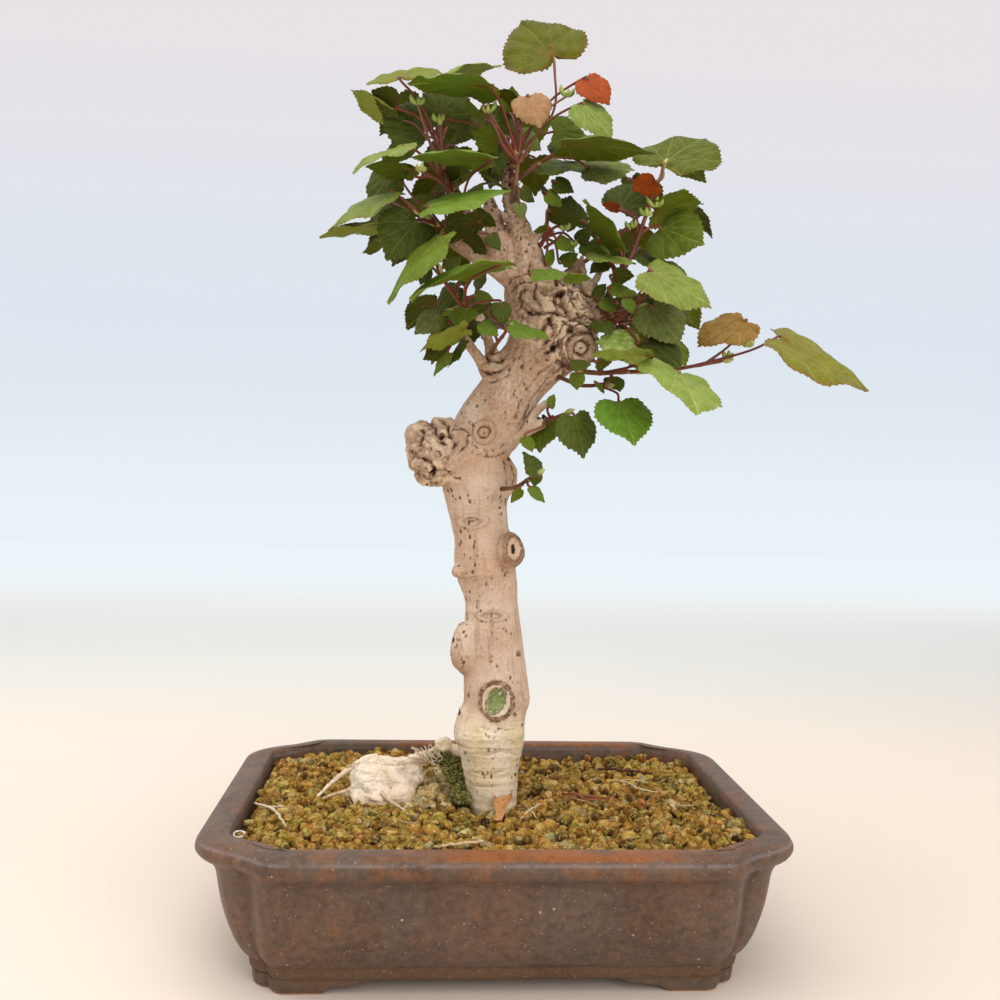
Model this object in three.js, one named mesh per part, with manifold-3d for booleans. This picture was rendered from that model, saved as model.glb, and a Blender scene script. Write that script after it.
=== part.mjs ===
// Sea hibiscus bonsai in a glazed oblong pot, mm, +Z up.
// The pot's feet stand on z = 0 and +Y points away from the front.
import * as THREE from "three";
import { mergeVertices } from "three/addons/utils/BufferGeometryUtils.js";
import Module from "manifold-3d";

const wasm = await Module();
wasm.setup();

// Driving dimensions
const RIM_HALF_LENGTH = 175;
const RIM_HALF_WIDTH = 135;
const RIM_Z = 83;
const UNDERSIDE_Z = 3;
const SOLE_Z = -5;
const FLOOR_Z = 12;
const DRAIN_X = 80;
const DRAIN_RADIUS = 9;
const SCREEN_SIZE = 30;
const SCREEN_THICKNESS = 1.2;
const SOIL_BACK_Z = 72;
const SOIL_FRONT_Z = 78;
const GRANULE_PITCH = 12.5;
const GRANULE_RELIEF = 3.8;
const BLADE_THICKNESS = 0.8;
const STALK_RADIUS = 1;
const NECK = 2.6;
const SHOOT_SIDES = 4;
const GAP = 0.35;

// Everyday colours
const GLAZE = "#5a4a3e";
const GRANULES = "#a88f52";
const BARK = "#dcc0a0";
const MOSS = "#4d5f24";
const SCREEN = "#26282a";
const LEAF_GREEN = "#5c7436";
const LEAF_DARK = "#3f5530";

const vec = (x, y, z) => new THREE.Vector3(x, y, z);
const radians = THREE.MathUtils.degToRad;
const lerp = THREE.MathUtils.lerp;
const clamp = THREE.MathUtils.clamp;

// Where the front view is seen from. Places in the crown are given as a point of that view,
// 1000 x 1000, with a depth Y, so that the same names serve the front and the round.
const EYE = vec(-48, -705, 290);
const YAW = radians(4.01);
const PITCH = radians(-1.26);
const ROLL = radians(1.44);
const FOCAL = 1069;
const HALF_VIEW = 500;
const LOOK = vec(Math.sin(YAW) * Math.cos(PITCH), Math.cos(YAW) * Math.cos(PITCH), Math.sin(PITCH));
const LEVEL = vec(Math.cos(YAW), -Math.sin(YAW), 0);
const STRAIGHT_UP = LEVEL.clone().cross(LOOK);
const RIGHT = LEVEL.clone().multiplyScalar(Math.cos(ROLL)).addScaledVector(STRAIGHT_UP, Math.sin(ROLL));
const UP = LEVEL.clone().multiplyScalar(-Math.sin(ROLL)).addScaledVector(STRAIGHT_UP, Math.cos(ROLL));

function seen(px, py, depth) {
  const ray = LOOK.clone().multiplyScalar(FOCAL);
  ray.addScaledVector(RIGHT, px - HALF_VIEW).addScaledVector(UP, HALF_VIEW - py);
  return EYE.clone().addScaledVector(ray, (depth - EYE.y) / ray.y);
}

// Millimetres that one step of the view covers at a place
function scaleAt(place) {
  return place.clone().sub(EYE).dot(LOOK) / FOCAL;
}

// Repeatable random numbers from 0 to 1
function random(seed) {
  let state = seed;
  return () => {
    state = (state * 1664525 + 1013904223) % 4294967296;
    return state / 4294967296;
  };
}

// Closed bodies
function body(points, faces) {
  const vertProperties = new Float32Array(points.flatMap((p) => [p.x, p.y, p.z]));
  const make = (rows) =>
    new wasm.Manifold(new wasm.Mesh({ numProp: 3, vertProperties, triVerts: new Uint32Array(rows.flat()) }));
  const made = make(faces);
  return made.volume() < 0 ? make(faces.map(([a, b, c]) => [a, c, b])) : made;
}

function fromGeometry(geometry) {
  const bare = geometry.index ? geometry.toNonIndexed() : geometry.clone();
  bare.deleteAttribute("normal");
  bare.deleteAttribute("uv");
  const merged = mergeVertices(bare, 1e-3);
  const place = merged.getAttribute("position");
  const points = [];
  const faces = [];
  for (let i = 0; i < place.count; i++) {
    points.push(vec(place.getX(i), place.getY(i), place.getZ(i)));
  }
  for (let i = 0; i < merged.index.count; i += 3) {
    faces.push([merged.index.getX(i), merged.index.getX(i + 1), merged.index.getX(i + 2)]);
  }
  return body(points, faces);
}

// A body through rings of the same number of points, closed with a fan at each end
function loft(rings, middles = false) {
  const count = rings[0].length;
  const points = rings.flat();
  const faces = [];
  for (let r = 0; r + 1 < rings.length; r++) {
    for (let i = 0; i < count; i++) {
      const a = r * count + i;
      const b = r * count + ((i + 1) % count);
      faces.push([a, b, b + count], [a, b + count, a + count]);
    }
  }
  const last = (rings.length - 1) * count;
  if (middles) {
    const middle = (ring) => ring.reduce((sum, p) => sum.add(p), vec(0, 0, 0)).divideScalar(count);
    points.push(middle(rings[0]), middle(rings[rings.length - 1]));
    for (let i = 0; i < count; i++) {
      faces.push([points.length - 2, (i + 1) % count, i]);
      faces.push([points.length - 1, last + i, last + ((i + 1) % count)]);
    }
  } else {
    for (let i = 1; i + 1 < count; i++) {
      faces.push([0, i + 1, i], [last, last + i, last + i + 1]);
    }
  }
  return body(points, faces);
}

// A round limb along a path, thick as the radii say; grow swells it on all sides
function limb(path, radii, sides, grow = 0, rough = 0) {
  const rings = [];
  let across = null;
  path.forEach((place, i) => {
    const along = path[Math.min(i + 1, path.length - 1)].clone().sub(path[Math.max(i - 1, 0)]).normalize();
    if (!across) across = Math.abs(along.y) < 0.9 ? vec(0, 1, 0) : vec(1, 0, 0);
    across = across.clone().addScaledVector(along, -across.dot(along)).normalize();
    const other = along.clone().cross(across);
    const radius = (Array.isArray(radii) ? radii[i] : radii) + grow;
    const middle = place.clone();
    if (i === 0) middle.addScaledVector(along, -grow);
    if (i === path.length - 1) middle.addScaledVector(along, grow);
    const ring = [];
    for (let s = 0; s < sides; s++) {
      const angle = ((s + 0.5) / sides) * Math.PI * 2;
      const uneven = 1 + rough * Math.sin(angle * 3 + i * 1.9) * Math.cos(angle * 2 - i * 1.1);
      ring.push(
        middle
          .clone()
          .addScaledVector(across, Math.cos(angle) * radius * uneven)
          .addScaledVector(other, Math.sin(angle) * radius * uneven),
      );
    }
    rings.push(ring);
  });
  return loft(rings);
}

// A limb given by points of the front view: px, py, radius in view steps, depth
function seenLimb(rows, sides, grow, rough = 0) {
  const path = rows.map(([px, py, radius, depth]) => seen(px, py, depth));
  const radii = rows.map(([px, py, radius], i) => radius * scaleAt(path[i]));
  return limb(path, radii, sides, grow, rough);
}

// A knobbly ball with half sizes along X, Y and Z
function lump(middle, half, knobs, grow, detail = 2) {
  const geometry = new THREE.IcosahedronGeometry(1, detail);
  const place = geometry.getAttribute("position");
  for (let i = 0; i < place.count; i++) {
    const p = vec(place.getX(i), place.getY(i), place.getZ(i));
    const wave = Math.sin(p.x * 4.1 + 0.7) * Math.sin(p.y * 4.7 + 1.9) * Math.sin(p.z * 4.3 + 0.4);
    const far = 1 + knobs * (wave + 0.5 * Math.sin(p.x * 7 + p.z * 9) * Math.cos(p.y * 8));
    place.setXYZ(
      i,
      middle.x + p.x * (half.x * far + grow),
      middle.y + p.y * (half.y * far + grow),
      middle.z + p.z * (half.z * far + grow),
    );
  }
  return fromGeometry(geometry);
}

// A low rounded ring, the rolled edge of a healed cut
function rolledEdge(middle, outward, radius, thick, grow, oval = 1) {
  const geometry = new THREE.TorusGeometry(radius, thick + grow, 4, 10);
  geometry.scale(1, oval, 1);
  geometry.applyQuaternion(new THREE.Quaternion().setFromUnitVectors(vec(0, 0, 1), outward.clone().normalize()));
  geometry.translate(middle.x, middle.y, middle.z);
  return fromGeometry(geometry);
}

function rod(radius, height, x, y, z, sides = 24) {
  const geometry = new THREE.CylinderGeometry(radius, radius, height, sides);
  geometry.rotateX(Math.PI / 2);
  geometry.translate(x, y, z + height / 2);
  return fromGeometry(geometry);
}

function block(width, length, height, x, y, z) {
  const geometry = new THREE.BoxGeometry(width, length, height);
  geometry.translate(x, y, z + height / 2);
  return fromGeometry(geometry);
}

const union = (list) => wasm.Manifold.union(list);
const volumeOf = (part) => part.volume();

// The biggest body of a result: loose scraps are dropped
function biggest(part) {
  return part.decompose().sort((a, b) => volumeOf(b) - volumeOf(a))[0];
}

// Pot. Each corner is a soft cusp: points inwards from the side plane and from the front plane.
const RIM_CORNER = [
  [0, 50],
  [2, 40],
  [9, 29],
  [21, 20],
  [27, 17],
  [36, 10],
  [44, 3],
  [53, 0],
];
const BODY_CORNER = [
  [0, 46],
  [1.5, 36],
  [7, 25.5],
  [17, 19],
  [22, 18],
  [26, 10.5],
  [31, 3.5],
  [40, 0],
];
const INNER_CORNER = [
  [0, 31],
  [1, 27],
  [5, 21.5],
  [13, 14.5],
  [17, 11],
  [23, 6],
  [28, 1.5],
  [33, 0],
];

function mixCorner(notch, size = 1) {
  return RIM_CORNER.map(([u, v], i) => [
    lerp(u, BODY_CORNER[i][0], notch) * size,
    lerp(v, BODY_CORNER[i][1], notch) * size,
  ]);
}

// One level of the pot: the rim's outline moved inwards, with the given corner
function potRing(inset, z, corner, shorter = 0) {
  const sideX = RIM_HALF_LENGTH - inset - shorter;
  const sideY = RIM_HALF_WIDTH - inset;
  const back = [...corner].reverse();
  return [
    ...back.map(([u, v]) => vec(sideX - u, v - sideY, z)),
    ...corner.map(([u, v]) => vec(sideX - u, sideY - v, z)),
    ...back.map(([u, v]) => vec(u - sideX, sideY - v, z)),
    ...corner.map(([u, v]) => vec(u - sideX, v - sideY, z)),
  ];
}

// inset, height, how deep the corner's crease is (1 on the body, 0 on the rim),
// the corner's size and how much more the short sides go in
const OUTER_PROFILE = [
  [36, UNDERSIDE_Z, 1, 0.5, 2],
  [31.6, UNDERSIDE_Z + 0.4, 1, 0.52, 2],
  [29.6, 5.5, 1, 0.53, 2],
  [29.2, 11, 1, 0.55, 1.7],
  [27.3, 12.5, 1, 0.57, 1.6],
  [24.5, 16, 1, 0.62, 1.5],
  [20, 24, 1, 0.72, 1.5],
  [15.5, 36, 1, 0.85, 1.2],
  [12, 50, 1, 0.95, 1],
  [10.5, 65, 1, 1, 0.5],
  [7, 68, 0.6, 1, 0],
  [2, 70.5, 0, 1, 0],
  [0, 74, 0, 1, 0],
  [0.8, 79, 0, 1, 0],
  [3.5, 81.5, 0, 1, 0],
  [8, 82.6, 0, 1, 0],
];
const INNER_PROFILE = [
  [18, RIM_Z],
  [19.2, 81.8],
  [20.2, 72],
  [22, 43],
  [30, 22],
  [42, 13],
  [50, FLOOR_Z],
];

function footCut(flat, full, top) {
  const shape = new THREE.Shape();
  const ogee = [
    [flat, SOLE_Z - 1],
    [flat, SOLE_Z],
    [lerp(flat, full, 0.1), lerp(SOLE_Z, top, 0.3)],
    [lerp(flat, full, 0.5), lerp(SOLE_Z, top, 0.5)],
    [lerp(flat, full, 0.8), lerp(SOLE_Z, top, 0.75)],
    [full, top],
  ];
  ogee.forEach(([x, z], i) => (i ? shape.lineTo(x, z) : shape.moveTo(x, z)));
  [...ogee].reverse().forEach(([x, z]) => shape.lineTo(-x, z));
  return shape;
}

function makePot() {
  const shell = loft(
    [
      ...OUTER_PROFILE.map(([inset, z, notch, size, shorter]) => potRing(inset, z, mixCorner(notch, size), shorter)),
      ...INNER_PROFILE.map(([inset, z]) => potRing(inset, z, INNER_CORNER)),
    ],
    true,
  );
  const footTop = UNDERSIDE_Z + 1;
  const outside = loft(
    [
      potRing(33, SOLE_Z, mixCorner(1, 0.45), 2),
      potRing(31.4, SOLE_Z + 1.6, mixCorner(1, 0.48), 2),
      potRing(31.2, footTop, mixCorner(1, 0.5), 2),
    ],
    true,
  );
  const hollow = mixCorner(1, 0.5);
  const inside = loft([potRing(47, SOLE_Z - 1, hollow), potRing(47, footTop + 1, hollow)], true);
  const long = new THREE.ExtrudeGeometry(footCut(99, 67, footTop + 0.5), { depth: 400, bevelEnabled: false });
  long.rotateX(Math.PI / 2);
  long.translate(0, 200, 0);
  const short = new THREE.ExtrudeGeometry(footCut(60, 38, footTop + 0.5), { depth: 400, bevelEnabled: false });
  short.rotateX(Math.PI / 2);
  short.rotateZ(Math.PI / 2);
  short.translate(-200, 0, 0);
  const feet = outside.subtract(inside).subtract(fromGeometry(long)).subtract(fromGeometry(short));
  let pot = shell.add(feet);
  for (const side of [-1, 1]) {
    pot = pot.subtract(rod(DRAIN_RADIUS, FLOOR_Z + 2, side * DRAIN_X, 0, 0));
  }
  return pot;
}

// Drain screens: a plate with square openings over each drain hole
function makeScreen(x) {
  const openings = 3;
  const pitch = (SCREEN_SIZE - 3) / openings;
  const open = pitch - 2.2;
  let screen = block(SCREEN_SIZE, SCREEN_SIZE, SCREEN_THICKNESS, x, 0, FLOOR_Z + GAP);
  for (let i = 0; i < openings; i++) {
    for (let j = 0; j < openings; j++) {
      const dx = (i - (openings - 1) / 2) * pitch;
      const dy = (j - (openings - 1) / 2) * pitch;
      screen = screen.subtract(block(open, open, 4 * SCREEN_THICKNESS, x + dx, dy, FLOOR_Z - 1));
    }
  }
  return screen;
}

// Woody body. px, py, half width in view steps, all at the height of py.
const TRUNK_RINGS = [
  [497, 840, 16],
  [496, 808, 19],
  [492, 790, 22.5],
  [490.5, 766, 28.5],
  [489.8, 745, 33],
  [488.5, 733, 35.5],
  [492, 713, 34],
  [496.5, 702, 32.5],
  [495.7, 678, 31.8],
  [495, 655, 30],
  [493, 634, 29],
  [491.5, 602, 26.5],
  [487.5, 582, 29.5],
  [484, 560, 30],
  [481.5, 538, 27.5],
  [476.5, 502, 30.5],
  [478, 484, 36],
  [474, 465, 36],
  [472, 450, 38],
  [487, 430, 37],
  [494.5, 415, 36.5],
  [503.5, 400, 36.5],
  [520, 380, 38],
  [538, 360, 44],
  [551, 341, 43],
  [551, 325, 41],
  [546, 307, 41],
  [538, 290, 34],
  [535, 278, 26],
  [530, 265, 18],
  [526, 250, 15.5],
  [521.5, 237, 13],
  [517, 222, 10],
  [512, 205, 8],
  [509, 190, 6.5],
  [508, 165, 5.5],
  [505.5, 145, 5],
  [505, 136, 4.6],
];
const FOOT_DEPTH = -14;
const FOOT_PY = 808;
const UPRIGHT_PY = 640;
const TRUNK_SIDES = 12;

function trunkDepth(py) {
  return FOOT_DEPTH * clamp((py - UPRIGHT_PY) / (FOOT_PY - UPRIGHT_PY), 0, 1);
}

function makeTrunk(grow) {
  const rings = TRUNK_RINGS.map(([px, py, half], i) => {
    const next = TRUNK_RINGS[Math.min(i + 1, TRUNK_RINGS.length - 1)];
    const before = TRUNK_RINGS[Math.max(i - 1, 0)];
    const lean = Math.atan2(Math.abs(next[0] - before[0]), Math.abs(next[1] - before[1]));
    const middle = seen(px, py, trunkDepth(py));
    const wide = half * scaleAt(middle);
    const deep = wide * lerp(0.92, 0.8, lean);
    const ring = [];
    for (let s = 0; s < TRUNK_SIDES; s++) {
      const angle = (s / TRUNK_SIDES) * Math.PI * 2;
      const flute = 1 + 0.035 * Math.sin(angle * 3 + i * 0.5) + 0.02 * Math.cos(angle * 5 - i * 0.8);
      const x = Math.cos(angle) * (wide * (Math.abs(Math.cos(angle)) > 0.9 ? 1 : flute) + grow);
      const y = Math.sin(angle) * (deep * flute + grow);
      ring.push(vec(middle.x + x, middle.y + y, middle.z));
    }
    return ring;
  });
  rings[0].forEach((p) => (p.z -= grow));
  rings[rings.length - 1].forEach((p) => (p.z += grow));
  return loft(rings);
}

// px, py, radius, depth of each limb that leaves the trunk
const LIMBS = {
  left_branch: [
    [524, 290, 11, -2],
    [499, 270, 10, -7],
    [480, 258, 8.5, -12],
    [462, 246, 8, -17],
    [453, 240, 7, -20],
  ],
  pruned_knob: [
    [478, 450, 26, -2],
    [455, 451, 29, -6],
    [438, 453, 29, -9],
    [421, 456, 22, -11],
    [413, 460, 13, -12],
  ],
  knob_crown: [
    [462, 462, 16, -2],
    [443, 432, 13, -12],
    [431, 428, 8, -13],
  ],
  upright_stub: [
    [500, 378, 7, -2],
    [495, 364, 6, -4],
    [488, 340, 5.4, -7],
    [479, 315, 4.6, -9],
  ],
  leaning_stub: [
    [492, 380, 7, -4],
    [480, 360, 5.4, -8],
    [464, 338, 5, -12],
  ],
  right_top: [
    [556, 306, 15, 0],
    [572, 306, 13, -2],
    [586, 314, 11, -4],
    [591, 300, 8, -4],
    [585, 283, 4.6, -5],
  ],
  right_hub: [
    [580, 316, 13, -2],
    [596, 321, 9.5, -5],
    [611, 324, 6.5, -8],
  ],
  back_top: [
    [562, 292, 9, 4],
    [570, 276, 6.5, 2],
    [581, 262, 6, 0],
  ],
  low_right: [
    [500, 450, 11, -10],
    [518, 437, 6.4, -16],
    [532, 429, 5.2, -18],
    [544, 422, 4.4, -20],
  ],
  low_right_stub: [
    [524, 430, 4.4, -17],
    [536, 412, 3.8, -17],
    [547, 402, 3.4, -18],
  ],
  left_knob: [
    [468, 650, 10, -6],
    [456, 647, 9, -8],
    [449, 646, 6, -9],
  ],
  right_knob: [
    [500, 552, 12, -12],
    [514, 550, 10.5, -16],
    [521, 549, 7, -18],
  ],
  foot_stub: [
    [457, 574, 8, -8],
    [451, 568, 5, -10],
    [447, 563, 3, -11],
  ],
  surface_root: [
    [373, 756, 2.4, 38],
    [346, 771, 1.9, 30],
    [330, 785, 1.7, 14],
    [317, 796, 1.6, 2],
  ],
};
const LIMB_SIDES = { pruned_knob: 12, surface_root: 5, foot_stub: 7, low_right_stub: 7 };

// The pale surface root: a rounded lump that a buried root joins to the foot
const ROOT_LUMP = vec(-72, 14, 80);
const ROOT_LUMP_HALF = vec(25, 25, 18);
const BURIED_ROOT = [vec(-72, 12, 70), vec(-46, 0, 58), vec(-20, -12, 50), vec(0, -14, 46)];
const FOOT_BOTTOM_Z = 34;

function makeWood(grow) {
  const parts = [makeTrunk(grow)];
  for (const [name, rows] of Object.entries(LIMBS)) {
    parts.push(seenLimb(rows, LIMB_SIDES[name] || 9, grow, 0.05));
  }
  const burl = seen(556, 327, -1);
  parts.push(lump(burl, vec(25, 23, 24), 0.09, grow));
  const knob = seen(426, 455, -12);
  parts.push(lump(knob, vec(10, 13, 13), 0.12, grow, 1));
  parts.push(lump(ROOT_LUMP, ROOT_LUMP_HALF, 0.07, grow));
  parts.push(limb(BURIED_ROOT, [13, 12, 11, 10], 9, grow));
  const foot = seen(497, 840, FOOT_DEPTH);
  parts.push(limb([vec(foot.x, foot.y, FOOT_BOTTOM_Z), vec(foot.x, foot.y, foot.z + 4)], [9, 11.5], 12, grow));
  const toEye = vec(-0.06, -1, 0.05);
  parts.push(rolledEdge(seen(496, 701, -33.5), toEye, 10, 2.4, grow, 1.15));
  parts.push(rolledEdge(seen(484, 432, -20), vec(-0.1, -1, 0.25), 5.2, 1.6, grow));
  parts.push(rolledEdge(seen(581, 348, -17), vec(0.45, -0.9, -0.1), 6, 2.2, grow));
  let wood = union(parts);
  if (!grow) {
    const hollow = new THREE.IcosahedronGeometry(1, 1);
    const place = (px, py, depth, r) => {
      const at = seen(px, py, depth);
      return fromGeometry(hollow.clone().scale(r, r, r).translate(at.x, at.y, at.z));
    };
    wood = wood.subtract(place(581, 348, -21, 3.4)).subtract(place(571, 328, -24, 3));
    wood = wood.subtract(place(514, 548, -24, 2.2));
  }
  return wood;
}

// Leaf blades. Half of the blade's outline: along the midrib, away from it.
const HEART = [
  [0, 0],
  [-0.1, 0.22],
  [-0.13, 0.5],
  [-0.02, 0.82],
  [0.18, 1],
  [0.4, 0.93],
  [0.6, 0.68],
  [0.76, 0.4],
  [0.88, 0.17],
  [1, 0],
];
const BLADE_RATIO = 1.2;
const CUP = 0.08;
const LARGE_BLADE = 40;
const SMALL_BLADE = 19;

// A blade seen from the front: its base, tip and widest line as points of the view, and the depth
// of its base. Turn 1 leans the tip away from the viewer, -1 towards the viewer.
function leaf(name, base, tip, across, depth, turn, tone, fold = 0, bend = 0.12) {
  const place = seen(base[0], base[1], depth);
  const a = [tip[0] - base[0], base[1] - tip[1]];
  const s = [across[0] / 2, -across[1] / 2];
  const dot = -(a[0] * s[0] + a[1] * s[1]);
  const q = BLADE_RATIO * BLADE_RATIO;
  const p = (q * (a[0] * a[0] + a[1] * a[1])) / 4 - (s[0] * s[0] + s[1] * s[1]);
  const square = (-p + Math.sqrt(p * p + q * dot * dot)) / (q / 2);
  const tipOff = turn * Math.sqrt(Math.max(square, 0));
  const sideOff = Math.abs(tipOff) > 1e-3 ? dot / tipOff : turn * Math.sqrt(Math.max(p, 0));
  const step = scaleAt(place);
  const sight = place.clone().sub(EYE).normalize();
  const right = RIGHT.clone().addScaledVector(sight, -RIGHT.dot(sight)).normalize();
  const up = right.clone().cross(sight).normalize();
  const along = right.clone().multiplyScalar(a[0]).addScaledVector(up, a[1]).addScaledVector(sight, tipOff);
  let side = right.clone().multiplyScalar(s[0]).addScaledVector(up, s[1]).addScaledVector(sight, sideOff);
  const length = along.length() * step;
  const half = side.length() * step;
  along.normalize();
  side.normalize();
  const face = along.clone().cross(side);
  if (face.z - 0.25 * face.dot(sight) < 0) face.negate();
  side = face.clone().cross(along);
  return { name, place, along, side, face, length, half, fold, bend, tone };
}

// A blade that spreads outwards from the crown's middle line and droops
const CROWN_X = 14;
const CROWN_Y = -6;
function spread(name, base, depth, length, droop, roll, tone) {
  const place = seen(base[0], base[1], depth);
  const out = vec(place.x - CROWN_X, place.y - CROWN_Y, 0).normalize();
  const level = out.clone().cross(vec(0, 0, 1));
  const along = out.clone().multiplyScalar(Math.cos(radians(droop)));
  along.z = -Math.sin(radians(droop));
  const face = level.clone().cross(along).normalize();
  if (face.z < 0) face.negate();
  face.applyAxisAngle(along, radians(roll));
  const side = face.clone().cross(along);
  return { name, place, along, side, face, length, half: length * 0.48, fold: 12, bend: 0.15, tone };
}

function bladePoint(l, x, y) {
  const fold = radians(l.fold);
  const lift =
    Math.abs(y) * l.half * Math.sin(fold) + l.bend * l.length * x * (1 - x) - CUP * l.half * (y * y - 0.4);
  return l.place
    .clone()
    .addScaledVector(l.along, x * l.length)
    .addScaledVector(l.side, y * l.half * Math.cos(fold))
    .addScaledVector(l.face, lift);
}

// The toothed edge of one half: points between the base and the tip
function toothedEdge(l, teeth, grow) {
  const edge = [];
  const steps = teeth * 2;
  for (let i = 0; i < steps; i++) {
    const t = ((i + 0.5) / steps) * (HEART.length - 1);
    const k = Math.min(Math.floor(t), HEART.length - 2);
    const f = t - k;
    const x = lerp(HEART[k][0], HEART[k + 1][0], f);
    const y = lerp(HEART[k][1], HEART[k + 1][1], f);
    const outX = (HEART[k + 1][1] - HEART[k][1]) * -1;
    const outY = HEART[k + 1][0] - HEART[k][0];
    const size = Math.hypot(outX, outY);
    const tooth = i % 2 ? 0.035 : -0.02;
    edge.push([x + (outX / size) * (tooth + grow / l.length), y + (outY / size) * (tooth + grow / l.half)]);
  }
  return edge;
}

// A stalk leaves its shoot below the blade, follows the shoot a little and bends over to the blade
function stalkPath(line, l) {
  let nearest = 0;
  let least = Infinity;
  const steps = 40;
  const at = (t) => {
    const place = clamp(t, 0, 1) * (line.length - 1);
    const k = Math.min(Math.floor(place), line.length - 2);
    return line[k].clone().lerp(line[k + 1], place - k);
  };
  for (let i = 0; i <= steps; i++) {
    const far = at(i / steps).distanceTo(l.place);
    if (far < least) {
      least = far;
      nearest = i / steps;
    }
  }
  const whole = line[0].distanceTo(line[line.length - 1]);
  const t = clamp(nearest - (0.5 * least) / whole, 0.3, 0.97);
  const start = at(t);
  const ahead = at(t + 0.05).sub(at(t - 0.05)).normalize();
  const base = bladePoint(l, 0, 0);
  const reach = start.distanceTo(base);
  const control = start.clone().lerp(base, 0.45).addScaledVector(ahead, reach * 0.18);
  return reach > 12 ? [start, control, base] : [start, base];
}

// A toothed blade with its stalk. The blade's base is cut off square, as wide as the stalk, which
// ends there in three points: two on the upper face and one on the lower.
function makeLeaf(line, l, grow) {
  const large = l.length > LARGE_BLADE;
  const teeth = large ? 4 : l.length > SMALL_BLADE ? 3 : 2;
  const edge = toothedEdge(l, teeth, grow);
  const tip = [1 + grow / l.length, 0];
  const outline = [...edge, tip, ...[...edge].reverse().map(([x, y]) => [x, -y])];
  const count = outline.length;
  const end = (count - 1) / 2;
  const half = BLADE_THICKNESS / 2 + grow;
  const wide = STALK_RADIUS * 0.85 + grow;
  const points = [];
  const put = (p, side, face) => {
    points.push(p.clone().addScaledVector(l.side, side).addScaledVector(l.face, face));
    return points.length - 1;
  };
  const flat = outline.map(([x, y]) => bladePoint(l, x, y));
  const base = bladePoint(l, 0, 0);
  const upper = flat.map((p) => put(p, 0, half));
  const lower = flat.map((p) => put(p, 0, -half));
  const left = put(base, wide, half);
  const right = put(base, -wide, half);
  const under = put(base, 0, -half - 0.2);
  const faces = [];
  const rib = large ? bladePoint(l, 0.45, 0) : null;
  const fill = (ring, baseLeft, baseRight, level, flip) => {
    const add = (i, j, k) => faces.push(flip ? [i, k, j] : [i, j, k]);
    if (large) {
      const middle = put(rib, 0, level);
      add(middle, baseLeft, ring[0]);
      add(middle, ring[count - 1], baseRight);
      if (baseLeft !== baseRight) add(middle, baseRight, baseLeft);
      for (let i = 0; i + 1 < count; i++) add(middle, ring[i], ring[i + 1]);
    } else {
      for (let i = 0; i < end; i++) add(baseLeft, ring[i], ring[i + 1]);
      for (let i = end; i + 1 < count; i++) add(baseRight, ring[i], ring[i + 1]);
      if (baseLeft !== baseRight) add(baseLeft, ring[end], baseRight);
    }
  };
  fill(upper, left, right, half, false);
  fill(lower, under, under, -half, true);
  for (let i = 0; i + 1 < count; i++) {
    faces.push([upper[i + 1], upper[i], lower[i]], [upper[i + 1], lower[i], lower[i + 1]]);
  }
  faces.push([upper[0], left, under], [upper[0], under, lower[0]]);
  faces.push([right, upper[count - 1], lower[count - 1]], [right, lower[count - 1], under]);
  // The stalk keeps its three sides from the blade on, turning as little as it can. It goes straight
  // back between the blade's lobes first, then over to the shoot.
  const path = stalkPath(line, l);
  const last = path.length - 1;
  const above = Math.sign(path[last - 1].clone().sub(base).dot(l.face));
  const neck = base.clone().addScaledVector(l.along, -NECK).addScaledVector(l.face, (above * NECK) / 2);
  path.splice(last, 0, neck);
  let ring = [left, right, under];
  let ahead = l.along.clone();
  let side = l.side.clone();
  let up = l.face.clone();
  for (let k = path.length - 2; k >= 0; k--) {
    const next = path[k + 1].clone().sub(path[k]).normalize();
    if (k > 0) next.add(path[k].clone().sub(path[k - 1]).normalize()).normalize();
    const turn = new THREE.Quaternion().setFromUnitVectors(ahead, next);
    side = side.clone().applyQuaternion(turn);
    up = up.clone().applyQuaternion(turn);
    ahead = next;
    const radius = STALK_RADIUS + grow;
    const around = [30, 150, 270].map((degrees) => {
      const p = path[k].clone().addScaledVector(side, Math.cos(radians(degrees)) * radius);
      points.push(p.addScaledVector(up, Math.sin(radians(degrees)) * radius));
      return points.length - 1;
    });
    for (let i = 0; i < 3; i++) {
      const j = (i + 1) % 3;
      faces.push([ring[i], ring[j], around[j]], [ring[i], around[j], around[i]]);
    }
    ring = around;
  }
  faces.push(ring);
  return body(points, faces);
}

function shoot(name, path, leaves, thick = 1.7) {
  return { name, path, leaves, thick };
}

function makeSpray(row, grow) {
  const line = row.path.map(([px, py, depth]) => seen(px, py, depth));
  const radii = line.map((p, i) => lerp(row.thick, Math.min(row.thick, 1.2), i / (line.length - 1)));
  const parts = [limb(line, radii, SHOOT_SIDES, grow)];
  for (const l of row.leaves) {
    parts.push(makeLeaf(line, l, grow));
  }
  return union(parts);
}

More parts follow.
